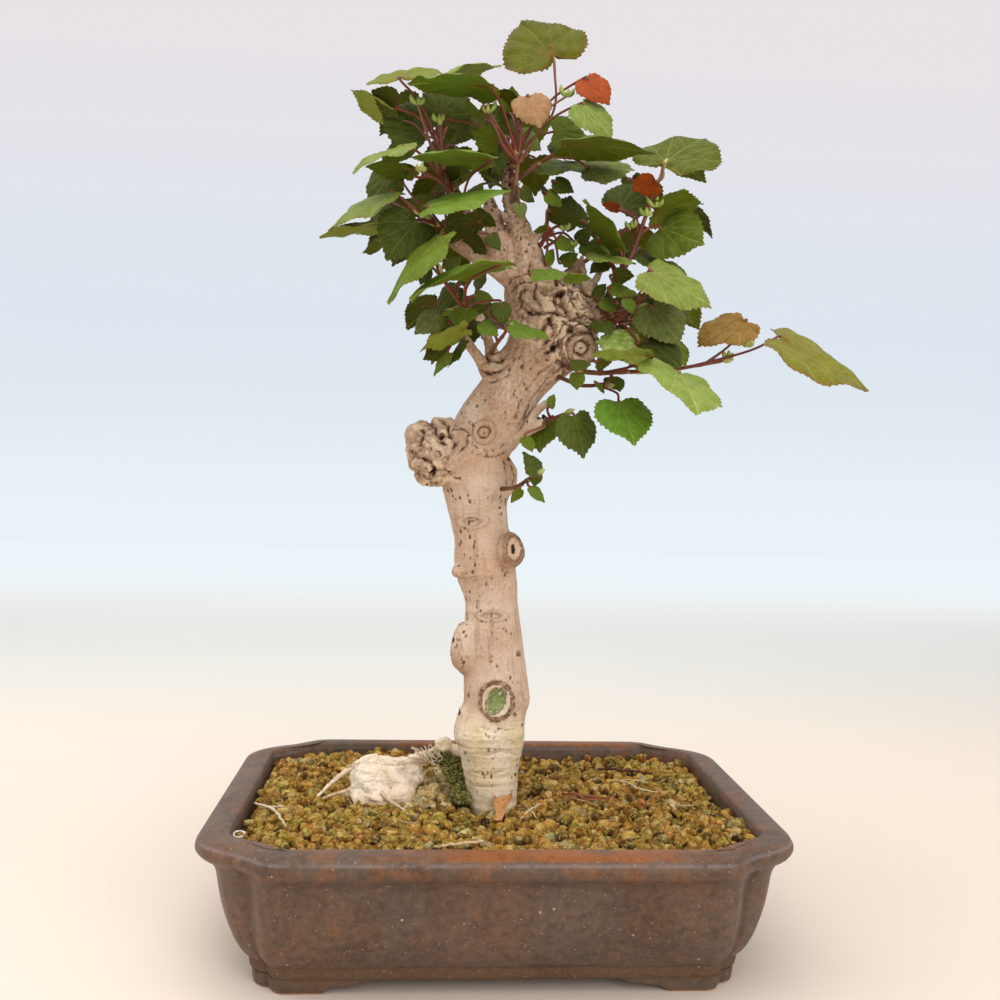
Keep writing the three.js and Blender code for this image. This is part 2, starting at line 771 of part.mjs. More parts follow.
// Sprays: each is one leafy shoot. Leaves of the front are placed one by one.
const SPRAYS = [
  shoot(
    "leader_shoot",
    [
      [511, 203, -2],
      [515, 192, -10],
      [517, 165, -10],
      [516, 130, -8],
      [517, 112, -6],
    ],
    [
      leaf("topmost", [554, 58], [518, 25], [76, -31], -10, 1, "olive"),
      leaf("peach", [529, 98], [540, 126], [38, -8], -19, -1, "peach"),
      leaf("wide_olive", [487, 87], [407, 85], [14, 24], -41, 1, "olive"),
      leaf("far_pale", [440, 78], [502, 67], [8, -14], 14, 1, "light"),
      leaf("dark_up", [441, 117], [462, 84], [46, 26], -2, 1, "dark"),
      leaf("small_olive_up", [512, 110], [512, 88], [24, 4], 4, 1, "olive"),
      leaf("dark_inner", [483, 139], [500, 108], [-44, -22], 4, 1, "dark"),
      leaf("green_right", [555, 132], [588, 137], [-4, -34], -7, 1, "mid"),
      leaf("orange_tip", [587, 80], [610, 103], [26, -14], -24, -1, "orange"),
      leaf("folded_pale", [583, 106], [613, 138], [28, -14], -30, -1, "light"),
      leaf("spotted_front", [520, 204], [521, 218], [14, 0], -24, -1, "grey"),
    ],
    2.2,
  ),
  shoot(
    "right_top_shoot",
    [
      [514, 182, 0],
      [530, 170, -8],
      [545, 160, -10],
      [567, 150, -12],
    ],
    [
      leaf("edge_long", [567, 146], [656, 155], [8, -22], -46, 1, "mid"),
      leaf("dark_under", [560, 142], [578, 160], [30, -10], 14, -1, "dark"),
      leaf("edge_low", [540, 166], [605, 168], [6, 12], 8, 1, "mid"),
      leaf("grey_fold", [588, 168], [634, 172], [6, -26], -14, -1, "grey"),
    ],
  ),
  shoot(
    "leader_side_shoot",
    [
      [536, 250, -2],
      [545, 236, -10],
      [550, 205, -10],
      [560, 188, -8],
    ],
    [
      leaf("dark_c1", [572, 222], [570, 196], [34, 10], 10, 1, "dark"),
      leaf("dark_c2", [606, 236], [584, 226], [4, -18], 24, 1, "dark"),
      leaf("small_side", [546, 228], [533, 232], [2, -8], -16, -1, "mid"),
    ],
  ),
  shoot(
    "right_mid_shoot",
    [
      [598, 316, 0],
      [612, 288, -8],
      [630, 258, -14],
      [648, 210, -18],
      [664, 167, -16],
    ],
    [
      leaf("right_curl", [665, 164], [705, 139], [-80, -16], -16, 1, "light"),
      leaf("dark_r1", [621, 210], [634, 184], [44, 14], 8, 1, "dark"),
      leaf("olive_r2", [662, 229], [703, 245], [34, -44], -8, -1, "olive"),
      leaf("orange_b", [655, 183], [632, 190], [-14, -22], -29, 1, "orange"),
      leaf("orange_c", [618, 208], [602, 204], [2, -10], -10, 1, "orange"),
      leaf("narrow_light", [617, 247], [583, 202], [22, -2], -30, -1, "light"),
      leaf("mid_c3", [590, 243], [608, 260], [26, -12], -4, -1, "mid"),
      leaf("edge_c4", [592, 256], [636, 264], [4, 8], -28, 1, "light"),
      leaf("dark_c5", [640, 252], [656, 270], [40, 4], 2, -1, "dark"),
    ],
    2.6,
  ),
  shoot(
    "left_top_shoot",
    [
      [468, 250, -8],
      [464, 236, -16],
      [456, 205, -18],
      [443, 160, -20],
      [440, 124, -20],
    ],
    [
      leaf("edge_red", [401, 79], [410, 71], [74, -10], -30, 1, "olive"),
      leaf("round_dark", [396, 106], [372, 92], [-10, 26], -16, 1, "dark"),
      leaf("light_l3", [388, 114], [352, 92], [-24, 18], -32, -1, "light"),
      leaf("big_dark_l5", [424, 131], [382, 110], [-32, 38], -6, 1, "dark"),
      leaf("light_l30", [404, 147], [353, 171], [24, -3], -46, -1, "light", 0, 0.2),
      leaf("green_l31", [402, 171], [366, 167], [6, -16], -28, -1, "mid"),
      leaf("bright_edge", [487, 160], [410, 158], [6, -16], -54, -1, "bright"),
      leaf("behind_l42", [498, 178], [496, 152], [16, 2], 20, 1, "dark"),
    ],
    2.4,
  ),
  shoot(
    "left_mid_shoot",
    [
      [458, 244, -14],
      [446, 232, -24],
      [430, 218, -30],
    ],
    [
      leaf("dark_l32", [392, 174], [368, 204], [28, 20], -12, -1, "dark"),
      leaf("light_l33", [390, 194], [329, 231], [20, 4], -36, -1, "light", 0, 0.2),
      leaf("pale_l34", [386, 224], [320, 237], [0, 12], -19, -1, "olive"),
      leaf("dark_l35", [390, 206], [374, 230], [18, 10], 2, -1, "dark"),
      leaf("dark_l36", [398, 220], [368, 244], [14, 22], 20, -1, "dark"),
      leaf("yellow_l37", [385, 240], [362, 253], [4, -16], -8, -1, "olive"),
      leaf("big_dark_l38", [416, 222], [386, 258], [50, 34], -41, -1, "dark"),
      leaf("bright_l40", [430, 207], [512, 193], [0, -16], -62, -1, "bright"),
      leaf("bluish_l41", [478, 222], [428, 240], [8, -26], -47, -1, "dark"),
    ],
  ),
  shoot(
    "left_low_shoot",
    [
      [480, 320, -4],
      [472, 314, -12],
      [463, 309, -15],
      [455, 296, -18],
      [446, 283, -20],
      [441, 272, -22],
    ],
    [
      leaf("long_light", [441, 238], [387, 302], [22, 6], -78, -1, "light", 0, 0.15),
      leaf("dark_l50", [424, 262], [420, 284], [20, 12], -14, -1, "dark"),
      leaf("edge_light", [500, 265], [411, 301], [6, -12], -68, -1, "bright", 0, 0.4),
      leaf("dark_narrow", [482, 272], [476, 294], [11, 2], 4, -1, "dark"),
      leaf("mid_l51", [476, 296], [494, 300], [2, -14], -22, 1, "mid"),
      leaf("dark_l52", [456, 288], [438, 312], [18, 12], -6, -1, "dark"),
      leaf("round_l61", [500, 304], [504, 324], [20, -2], -43, -1, "dark"),
    ],
  ),
  shoot(
    "left_stub_shoot",
    [
      [465, 341, -6],
      [458, 330, -14],
      [450, 322, -17],
      [440, 317, -20],
    ],
    [
      leaf("spotted_l53", [438, 315], [415, 334], [20, 16], -32, -1, "grey"),
      leaf("light_l54", [464, 329], [420, 352], [8, 16], -49, -1, "light"),
      leaf("dark_l55", [446, 342], [424, 360], [6, 22], -22, -1, "dark"),
      leaf("narrow_l56", [448, 354], [434, 376], [10, 4], -34, -1, "mid"),
      leaf("narrow_l57", [464, 342], [448, 368], [8, 4], -28, -1, "mid"),
      leaf("olive_l58", [458, 322], [440, 334], [16, 18], -3, -1, "olive"),
      leaf("mid_l59", [466, 310], [456, 326], [26, 4], -44, -1, "mid"),
      leaf("dark_l60", [470, 322], [474, 342], [26, -4], 6, -1, "dark"),
    ],
  ),
  shoot(
    "stub_base_shoot",
    [
      [491, 354, -6],
      [495, 346, -24],
      [502, 337, -38],
      [507, 330, -42],
    ],
    [
      leaf("burl_leaf_l", [510, 326], [549, 338], [-2, -14], -46, 1, "bright"),
      leaf("bright_l62", [482, 324], [498, 336], [12, -12], -40, -1, "bright"),
    ],
  ),
  shoot(
    "burl_top_shoot",
    [
      [558, 290, -12],
      [556, 279, -32],
      [562, 276, -40],
    ],
    [
      leaf("burl_leaf_t", [534, 274], [567, 276], [0, -12], -49, 1, "bright", 0, 0.15),
      leaf("burl_leaf_r", [566, 278], [592, 279], [2, -10], -42, 1, "bright"),
    ],
  ),
  shoot(
    "burl_low_shoot",
    [
      [562, 366, -14],
      [570, 366, -34],
      [575, 368, -38],
    ],
    [
      leaf("right_low_dark", [572, 365], [591, 365], [0, -12], -40, 1, "dark"),
      leaf("pointed_low", [577, 374], [577, 390], [16, 0], -38, -1, "mid"),
    ],
  ),
  shoot(
    "right_hub_shoot",
    [
      [594, 326, -6],
      [606, 318, -14],
      [622, 318, -18],
      [640, 308, -20],
    ],
    [
      leaf("big_light", [652, 273], [711, 308], [26, -29], -52, -1, "light"),
      leaf("olive_behind", [656, 268], [693, 286], [16, -20], -20, -1, "olive"),
      leaf("round_dark_r", [614, 276], [634, 276], [2, -18], -17, 1, "dark"),
      leaf("mid_r7", [612, 288], [638, 296], [4, -12], -26, -1, "mid"),
      leaf("dark_r8", [650, 300], [692, 322], [14, -24], -6, -1, "dark"),
      leaf("grey_under", [652, 308], [680, 344], [42, -20], -26, -1, "grey"),
      leaf("bright_small", [628, 300], [632, 314], [14, 0], -34, -1, "bright"),
      leaf("dark_r9", [600, 322], [608, 334], [24, -4], -26, -1, "dark"),
      leaf("dark_r10", [616, 328], [626, 336], [12, -10], -22, -1, "dark"),
      leaf("variegated_a", [634, 344], [596, 342], [2, -32], -36, 1, "variegated"),
    ],
    2.2,
  ),
  shoot(
    "long_right_shoot",
    [
      [566, 364, 0],
      [582, 371, -4],
      [600, 373, -10],
      [621, 372, -14],
      [662, 371, -18],
      [700, 365, -24],
      [724, 361, -26],
    ],
    [
      leaf("far_right", [781, 339], [866, 392], [10, -28], -34, 1, "light"),
      leaf("tan", [743, 322], [700, 346], [38, 22], -32, -1, "tan"),
      leaf("light_r13", [676, 372], [698, 411], [78, 30], -60, -1, "light"),
      leaf("dark_r12", [648, 342], [680, 368], [34, -22], -27, -1, "dark"),
      leaf("brownish", [668, 344], [686, 366], [26, -10], -22, -1, "olive"),
      leaf("variegated_b", [648, 356], [592, 356], [4, 16], -62, 1, "variegated"),
      leaf("dark_r11", [598, 362], [612, 362], [4, -16], -30, 1, "dark"),
    ],
    2.2,
  ),
  shoot(
    "heart_shoot",
    [
      [552, 374, -8],
      [580, 385, -14],
      [600, 385, -18],
      [606, 385, -20],
    ],
    [
      leaf("heart", [620, 403], [634, 444], [56, -2], -44, -1, "fresh"),
      leaf("behind_heart", [612, 378], [620, 392], [20, -2], -4, -1, "mid"),
      leaf("thin_l71", [598, 384], [604, 394], [6, 0], -28, -1, "mid"),
    ],
  ),
  shoot(
    "low_right_shoot",
    [
      [538, 426, -19],
      [552, 419, -26],
      [566, 413, -31],
    ],
    [
      leaf("low_dark", [574, 417], [584, 458], [38, -8], -34, -1, "olive"),
      leaf("low_left", [544, 420], [540, 452], [34, -4], -11, -1, "mid"),
      leaf("low_left2", [526, 438], [532, 452], [14, -2], -34, -1, "mid"),
      leaf("stub_leaf", [550, 406], [554, 394], [8, 6], -30, 1, "mid"),
    ],
  ),
  shoot(
    "trunk_twig",
    [
      [500, 489, -14],
      [516, 487, -30],
      [527, 480, -36],
      [537, 474, -40],
    ],
    [
      leaf("twig_up", [538, 473], [523, 452], [14, -10], -40, 1, "dark"),
      leaf("twig_mid", [537, 474], [535, 487], [12, 0], -32, -1, "mid"),
      leaf("twig_low", [532, 488], [544, 503], [10, -6], -42, -1, "mid"),
      leaf("twig_left", [520, 490], [511, 503], [8, 6], -44, -1, "mid"),
    ],
  ),
  // Leaves of the back, where the view behind the burl and between the shoots is full as well
  shoot(
    "back_top_left",
    [
      [492, 265, -6],
      [484, 248, 10],
      [466, 215, 26],
      [446, 160, 36],
      [436, 112, 40],
    ],
    [
      spread("back_a1", [420, 104], 52, 40, 24, 10, "dark"),
      spread("back_a2", [448, 96], 62, 38, 30, -12, "mid"),
      spread("back_a3", [470, 118], 66, 42, 20, 6, "dark"),
      spread("back_a4", [418, 140], 44, 36, 34, -8, "mid"),
      spread("back_a5", [456, 150], 74, 40, 38, 14, "dark"),
      spread("back_a6", [440, 178], 71, 34, 42, -6, "olive"),
    ],
    2.2,
  ),
  shoot(
    "back_left",
    [
      [506, 276, -2],
      [497, 270, 14],
      [470, 245, 24],
      [440, 228, 34],
      [420, 214, 38],
    ],
    [
      spread("back_b1", [408, 208], 44, 36, 26, 8, "dark"),
      spread("back_b2", [430, 200], 62, 38, 22, -10, "mid"),
      spread("back_b3", [420, 232], 58, 34, 40, 12, "dark"),
      spread("back_b4", [452, 226], 72, 38, 30, -6, "dark"),
      spread("back_b5", [470, 240], 50, 30, 44, 8, "olive"),
    ],
    2,
  ),
  shoot(
    "back_burl",
    [
      [548, 312, 14],
      [548, 300, 34],
      [552, 296, 52],
      [556, 300, 66],
    ],
    [
      spread("back_c1", [530, 296], 84, 38, 24, 10, "dark"),
      spread("back_c2", [566, 292], 60, 40, 20, -8, "mid"),
      spread("back_c3", [550, 306], 78, 40, 36, 0, "dark"),
      spread("back_c4", [536, 334], 62, 36, 46, -12, "mid"),
      spread("back_c5", [574, 330], 58, 34, 50, 12, "dark"),
      spread("back_c6", [552, 276], 44, 30, 14, 6, "olive"),
    ],
    2,
  ),
  shoot(
    "back_right",
    [
      [584, 322, 12],
      [610, 312, 26],
      [636, 306, 34],
      [652, 304, 40],
    ],
    [
      spread("back_d1", [664, 300], 46, 38, 28, -10, "mid"),
      spread("back_d2", [640, 296], 62, 40, 24, 8, "dark"),
      spread("back_d3", [612, 302], 56, 34, 30, -6, "dark"),
      spread("back_d4", [650, 330], 50, 36, 44, 12, "olive"),
      spread("back_d5", [622, 334], 60, 36, 46, -10, "dark"),
    ],
    2,
  ),
  shoot(
    "back_low_left",
    [
      [528, 342, 14],
      [500, 326, 30],
      [470, 314, 38],
      [450, 308, 42],
    ],
    [
      spread("back_e1", [438, 302], 46, 34, 30, 8, "dark"),
      spread("back_e2", [466, 298], 60, 36, 22, -10, "mid"),
      spread("back_e3", [494, 306], 66, 36, 34, 10, "dark"),
      spread("back_e4", [452, 330], 54, 32, 46, -8, "olive"),
    ],
    1.9,
  ),
  shoot(
    "back_leader",
    [
      [511, 205, 6],
      [508, 176, 18],
      [512, 146, 26],
      [518, 122, 30],
    ],
    [
      spread("back_f1", [506, 112], 44, 32, 18, 8, "dark"),
      spread("back_f2", [530, 118], 42, 34, 26, -10, "mid"),
      spread("back_f3", [502, 150], 50, 34, 38, 6, "dark"),
      spread("back_f4", [534, 160], 38, 28, 44, -8, "olive"),
    ],
    1.9,
  ),
  shoot(
    "back_right_top",
    [
      [566, 286, 4],
      [574, 270, 14],
      [606, 246, 22],
      [640, 214, 28],
      [660, 180, 28],
    ],
    [
      spread("back_g1", [668, 158], 30, 34, 22, -8, "mid"),
      spread("back_g2", [684, 208], 30, 30, 40, 10, "dark"),
      spread("back_g3", [632, 180], 46, 34, 30, 8, "dark"),
      spread("back_g4", [630, 232], 44, 32, 42, -8, "olive"),
    ],
    2,
  ),
];

// Moss cushion between the surface root and the foot
function makeMoss(grow) {
  return lump(vec(-31, 16, 73), vec(13, 34, 11), 0.06, grow);
}

// Soil: the pot's inside with a top of raised granules
function soilTop(x, y) {
  const slope = lerp(SOIL_FRONT_Z, SOIL_BACK_Z, (y + RIM_HALF_WIDTH) / (2 * RIM_HALF_WIDTH));
  const mound = 6 * Math.exp(-((x + 95) ** 2 + (y - 80) ** 2) / 2600);
  const fall = 1.5 * Math.sin(x / 31) * Math.cos(y / 27);
  return slope + mound + fall;
}

function makeSoilSlab() {
  const roll = random(7);
  const rowStep = GRANULE_PITCH * Math.sqrt(0.75);
  const columns = Math.ceil((2 * (RIM_HALF_LENGTH - 12)) / GRANULE_PITCH);
  const lines = Math.ceil((2 * (RIM_HALF_WIDTH - 12)) / rowStep);
  const points = [];
  const faces = [];
  const id = (i, j) => j * (columns + 1) + i;
  for (let j = 0; j <= lines; j++) {
    for (let i = 0; i <= columns; i++) {
      const x = (i - columns / 2 + (j % 2 ? 0.25 : -0.25)) * GRANULE_PITCH + (roll() - 0.5) * 3;
      const y = (j - lines / 2) * rowStep + (roll() - 0.5) * 3;
      const raised = (i + (j % 2 ? 2 : 0)) % 3 === 0 ? 1 : 0;
      points.push(vec(x, y, soilTop(x, y) + (raised - 0.45) * GRANULE_RELIEF + (roll() - 0.5) * 1.6));
    }
  }
  const rim = [];
  for (let i = 0; i < columns; i++) rim.push(id(i, 0));
  for (let j = 0; j < lines; j++) rim.push(id(columns, j));
  for (let i = columns; i > 0; i--) rim.push(id(i, lines));
  for (let j = lines; j > 0; j--) rim.push(id(0, j));
  for (let j = 0; j < lines; j++) {
    for (let i = 0; i < columns; i++) {
      const [a, b, c, d] = [id(i, j), id(i + 1, j), id(i + 1, j + 1), id(i, j + 1)];
      if (j % 2) faces.push([a, b, d], [b, c, d]);
      else faces.push([a, b, c], [a, c, d]);
    }
  }
  const low = points.length;
  rim.forEach((p) => points.push(vec(points[p].x, points[p].y, 0)));
  points.push(vec(0, 0, 0));
  rim.forEach((p, k) => {
    const next = (k + 1) % rim.length;
    faces.push([rim[next], p, low + k], [rim[next], low + k, low + next]);
    faces.push([low + next, low + k, points.length - 1]);
  });
  return body(points, faces);
}

function makeSoil(cuts) {
  const inset = 0.45;
  const cavity = loft(
    [
      [50, FLOOR_Z],
      [42, 13],
      [30, 22],
      [22, 43],
      [20.2, 72],
      [19.2, 81.8],
    ].map(([d, z]) => potRing(d + inset, z + (z < 20 ? GAP : 0), INNER_CORNER)),
    true,
  );
  let soil = makeSoilSlab().intersect(cavity);
  for (const side of [-1, 1]) {
    const size = SCREEN_SIZE + 2 * GAP;
    soil = soil.subtract(block(size, size, SCREEN_THICKNESS + 2 * GAP, side * DRAIN_X, 0, FLOOR_Z));
  }
  for (const cut of cuts) {
    soil = soil.subtract(cut);
  }
  return biggest(soil);
}

function asMesh(name, part, color, roughness, metalness = 0) {
  const made = part.getMesh();
  const geometry = new THREE.BufferGeometry();
  const place = new Float32Array(made.numVert * 3);
  for (let i = 0; i < made.numVert; i++) {
    place.set(made.vertProperties.subarray(i * made.numProp, i * made.numProp + 3), i * 3);
  }
  geometry.setAttribute("position", new THREE.BufferAttribute(place, 3));
  geometry.setIndex(new THREE.BufferAttribute(new Uint32Array(made.triVerts), 1));
  const mesh = new THREE.Mesh(geometry, new THREE.MeshStandardMaterial({ color, roughness, metalness }));
  mesh.name = name;
  return mesh;
}

const object = new THREE.Group();
object.name = "sea_hibiscus_bonsai";
const wood = makeWood(0);
const woodCut = makeWood(GAP);
object.add(asMesh("pot", makePot(), GLAZE, 0.3));
object.add(asMesh("drain_screen_left", makeScreen(-DRAIN_X), SCREEN, 0.7));
object.add(asMesh("drain_screen_right", makeScreen(DRAIN_X), SCREEN, 0.7));
object.add(asMesh("tree", biggest(wood), BARK, 0.8));
object.add(asMesh("moss_cushion", biggest(makeMoss(0).subtract(woodCut)), MOSS, 0.95));
object.add(asMesh("soil", makeSoil([woodCut, makeMoss(GAP)]), GRANULES, 0.95));

const placed = [];
for (const row of SPRAYS) {
  let spray = makeSpray(row, 0).subtract(woodCut);
  for (const other of placed) {
    spray = spray.subtract(other);
  }
  placed.push(makeSpray(row, GAP));
  const tone = row.name.startsWith("back") ? LEAF_DARK : LEAF_GREEN;
  object.add(asMesh(row.name, biggest(spray), tone, 0.6));
}

const box = new THREE.Box3().setFromObject(object);
object.position.set(-(box.min.x + box.max.x) / 2, -(box.min.y + box.max.y) / 2, -box.min.z);

export default object;
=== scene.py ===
"""Looks of the sea hibiscus bonsai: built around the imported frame, in metres, +Z up."""
import math
import random

import bmesh
import bpy
import numpy as np
from mathutils import Matrix, Vector, noise


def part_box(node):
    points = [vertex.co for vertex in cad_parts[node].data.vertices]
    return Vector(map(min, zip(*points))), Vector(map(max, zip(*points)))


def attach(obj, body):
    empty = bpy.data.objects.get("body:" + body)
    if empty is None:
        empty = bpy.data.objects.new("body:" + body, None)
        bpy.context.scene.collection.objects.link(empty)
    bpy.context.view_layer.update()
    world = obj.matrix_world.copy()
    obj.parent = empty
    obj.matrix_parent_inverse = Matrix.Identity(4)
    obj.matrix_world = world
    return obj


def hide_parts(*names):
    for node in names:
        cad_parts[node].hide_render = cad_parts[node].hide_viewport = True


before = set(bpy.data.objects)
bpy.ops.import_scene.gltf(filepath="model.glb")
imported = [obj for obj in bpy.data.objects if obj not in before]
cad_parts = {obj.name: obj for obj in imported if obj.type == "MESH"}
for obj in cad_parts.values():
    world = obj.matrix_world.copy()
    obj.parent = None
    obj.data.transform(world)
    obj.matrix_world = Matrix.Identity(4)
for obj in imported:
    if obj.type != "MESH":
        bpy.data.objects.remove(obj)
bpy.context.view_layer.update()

MM = 0.001

# The pot's middle in the frame: all sizes below are in millimetres from there.
pot_low, pot_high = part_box("pot")
SOLE_Z = -5.0
MIDDLE = np.array([(pot_low[0] + pot_high[0]) / 2, (pot_low[1] + pot_high[1]) / 2, pot_low[2] - SOLE_Z * MM])

# The front view that the crown was measured in
EYE = np.array([-48.0, -705.0, 290.0])
YAW = math.radians(4.01)
PITCH = math.radians(-1.26)
ROLL = math.radians(1.44)
FOCAL = 1069.0
HALF_VIEW = 500.0
LOOK = np.array([math.sin(YAW) * math.cos(PITCH), math.cos(YAW) * math.cos(PITCH), math.sin(PITCH)])
LEVEL = np.array([math.cos(YAW), -math.sin(YAW), 0.0])
STRAIGHT_UP = np.cross(LEVEL, LOOK)
RIGHT = LEVEL * math.cos(ROLL) + STRAIGHT_UP * math.sin(ROLL)
UP = -LEVEL * math.sin(ROLL) + STRAIGHT_UP * math.cos(ROLL)


def unit(v):
    return v / max(np.linalg.norm(v), 1e-9)


def lerp(a, b, t):
    return a + (b - a) * t


def clamp(v, low=0.0, high=1.0):
    return min(max(v, low), high)


def seen(px, py, depth):
    """The place at a depth Y on the line of sight through a point of the front view."""
    ray = LOOK * FOCAL + RIGHT * (px - HALF_VIEW) + UP * (HALF_VIEW - py)
    return EYE + ray * ((depth - EYE[1]) / ray[1])


def scale_at(place):
    return float((place - EYE) @ LOOK) / FOCAL


def smooth_line(points, per=6):
    """A rounded path through points (Catmull-Rom)."""
    p = [np.array(q, float) for q in points]
    p = [2 * p[0] - p[1]] + p + [2 * p[-1] - p[-2]]
    out = []
    for i in range(1, len(p) - 2):
        for k in range(per):
            t = k / per
            a, b, c, d = p[i - 1], p[i], p[i + 1], p[i + 2]
            out.append(
                0.5 * (2 * b + (c - a) * t + (2 * a - 5 * b + 4 * c - d) * t * t + (3 * b - a - 3 * c + d) * t**3)
            )
    out.append(p[-2])
    return out


# Materials
def tint(code):
    """A #rrggbb colour as linear values."""
    rgb = [int(code[i : i + 2], 16) / 255 for i in (1, 3, 5)]
    linear = [c / 12.92 if c <= 0.04045 else ((c + 0.055) / 1.055) ** 2.4 for c in rgb]
    return (*linear, 1.0)


class Value:
    """A number on its way through a material; arithmetic adds the nodes."""

    def __init__(self, finish, socket):
        self.finish = finish
        self.socket = socket

    def maths(self, operation, *others, clip=False):
        settings = {"operation": operation, "use_clamp": clip}
        return self.finish.node("ShaderNodeMath", settings, self, *others)

    def __add__(self, other):
        return self.maths("ADD", other)

    def __sub__(self, other):
        return self.maths("SUBTRACT", other)

    def __mul__(self, other):
        return self.maths("MULTIPLY", other)

    def __truediv__(self, other):
        return self.maths("DIVIDE", other)

    __radd__ = __add__
    __rmul__ = __mul__

    def __rsub__(self, other):
        return self.finish.node("ShaderNodeMath", {"operation": "SUBTRACT"}, other, self)

    def clip(self):
        return self.maths("ADD", 0.0, clip=True)

    def size(self):
        return self.maths("ABSOLUTE")

    def most(self, other):
        return self.maths("MAXIMUM", other)

    def ramp(self, low, high):
        """0 below low, 1 above high, smooth between; low may be the larger."""
        flip = low > high
        if flip:
            low, high = high, low
        settings = {"interpolation_type": "SMOOTHSTEP"}
        out = self.finish.node("ShaderNodeMapRange", settings, self, low, high)
        return 1 - out if flip else out


class Finish:
    """A procedural material under construction."""

    def __init__(self, name, roughness=0.6, specular=0.5):
        self.material = bpy.data.materials.new(name)
        self.material.use_nodes = True
        self.nodes = self.material.node_tree.nodes
        self.links = self.material.node_tree.links
        self.shader = self.nodes["Principled BSDF"]
        self.shader.inputs["Roughness"].default_value = roughness
        self.shader.inputs["Specular IOR Level"].default_value = specular

    def node(self, kind, settings=None, *values, out=0, **named):
        made = self.nodes.new(kind)
        for key, setting in (settings or {}).items():
            setattr(made, key, setting)
        for key, value in [*enumerate(values), *named.items()]:
            socket = made.inputs[key.replace("_", " ") if isinstance(key, str) else key]
            if isinstance(value, Value):
                self.links.new(value.socket, socket)
            else:
                socket.default_value = value
        return Value(self, made.outputs[out])

    def place(self):
        return self.node("ShaderNodeTexCoord", out="Object")

    def attribute(self, name, out="Fac"):
        return self.node("ShaderNodeAttribute", {"attribute_name": name}, out=out)

    def axes(self, vector):
        return [self.node("ShaderNodeSeparateXYZ", None, vector, out=i) for i in range(3)]

    def moved(self, vector, scale=(1, 1, 1), shift=(0, 0, 0)):
        return self.node("ShaderNodeMapping", None, Vector=vector, Scale=scale, Location=shift)

    def cloud(self, vector, scale, detail=3.0, roughness=0.5, distortion=0.0):
        values = {"Vector": vector, "Scale": scale, "Detail": detail, "Roughness": roughness, "Distortion": distortion}
        return self.node("ShaderNodeTexNoise", None, **values)

    def cloud_colour(self, vector, scale):
        return self.node("ShaderNodeTexNoise", None, Vector=vector, Scale=scale, Detail=2.0, out="Color")

    def cells(self, vector, scale, feature="F1"):
        return self.node("ShaderNodeTexVoronoi", {"feature": feature}, Vector=vector, Scale=scale)

    def blend(self, fac, a, b, mode="MIX"):
        """Colour a where fac is 0 and b where it is 1."""
        made = self.nodes.new("ShaderNodeMix")
        made.data_type = "RGBA"
        made.blend_type = mode
        for key, value in ((0, fac), (6, a), (7, b)):
            if isinstance(value, Value):
                self.links.new(value.socket, made.inputs[key])
            else:
                made.inputs[key].default_value = value
        return Value(self, made.outputs[2])

    def wear(self, colour=None, roughness=None, bump=None, strength=0.3, depth=0.001):
        if colour is not None:
            self.set("Base Color", colour)
        if roughness is not None:
            self.set("Roughness", roughness)
        if bump is not None:
            relief = self.node("ShaderNodeBump", None, Strength=strength, Distance=depth, Height=bump, out="Normal")
            self.set("Normal", relief)
        return self.material

    def set(self, name, value):
        if isinstance(value, Value):
            self.links.new(value.socket, self.shader.inputs[name])
        else:
            self.shader.inputs[name].default_value = value


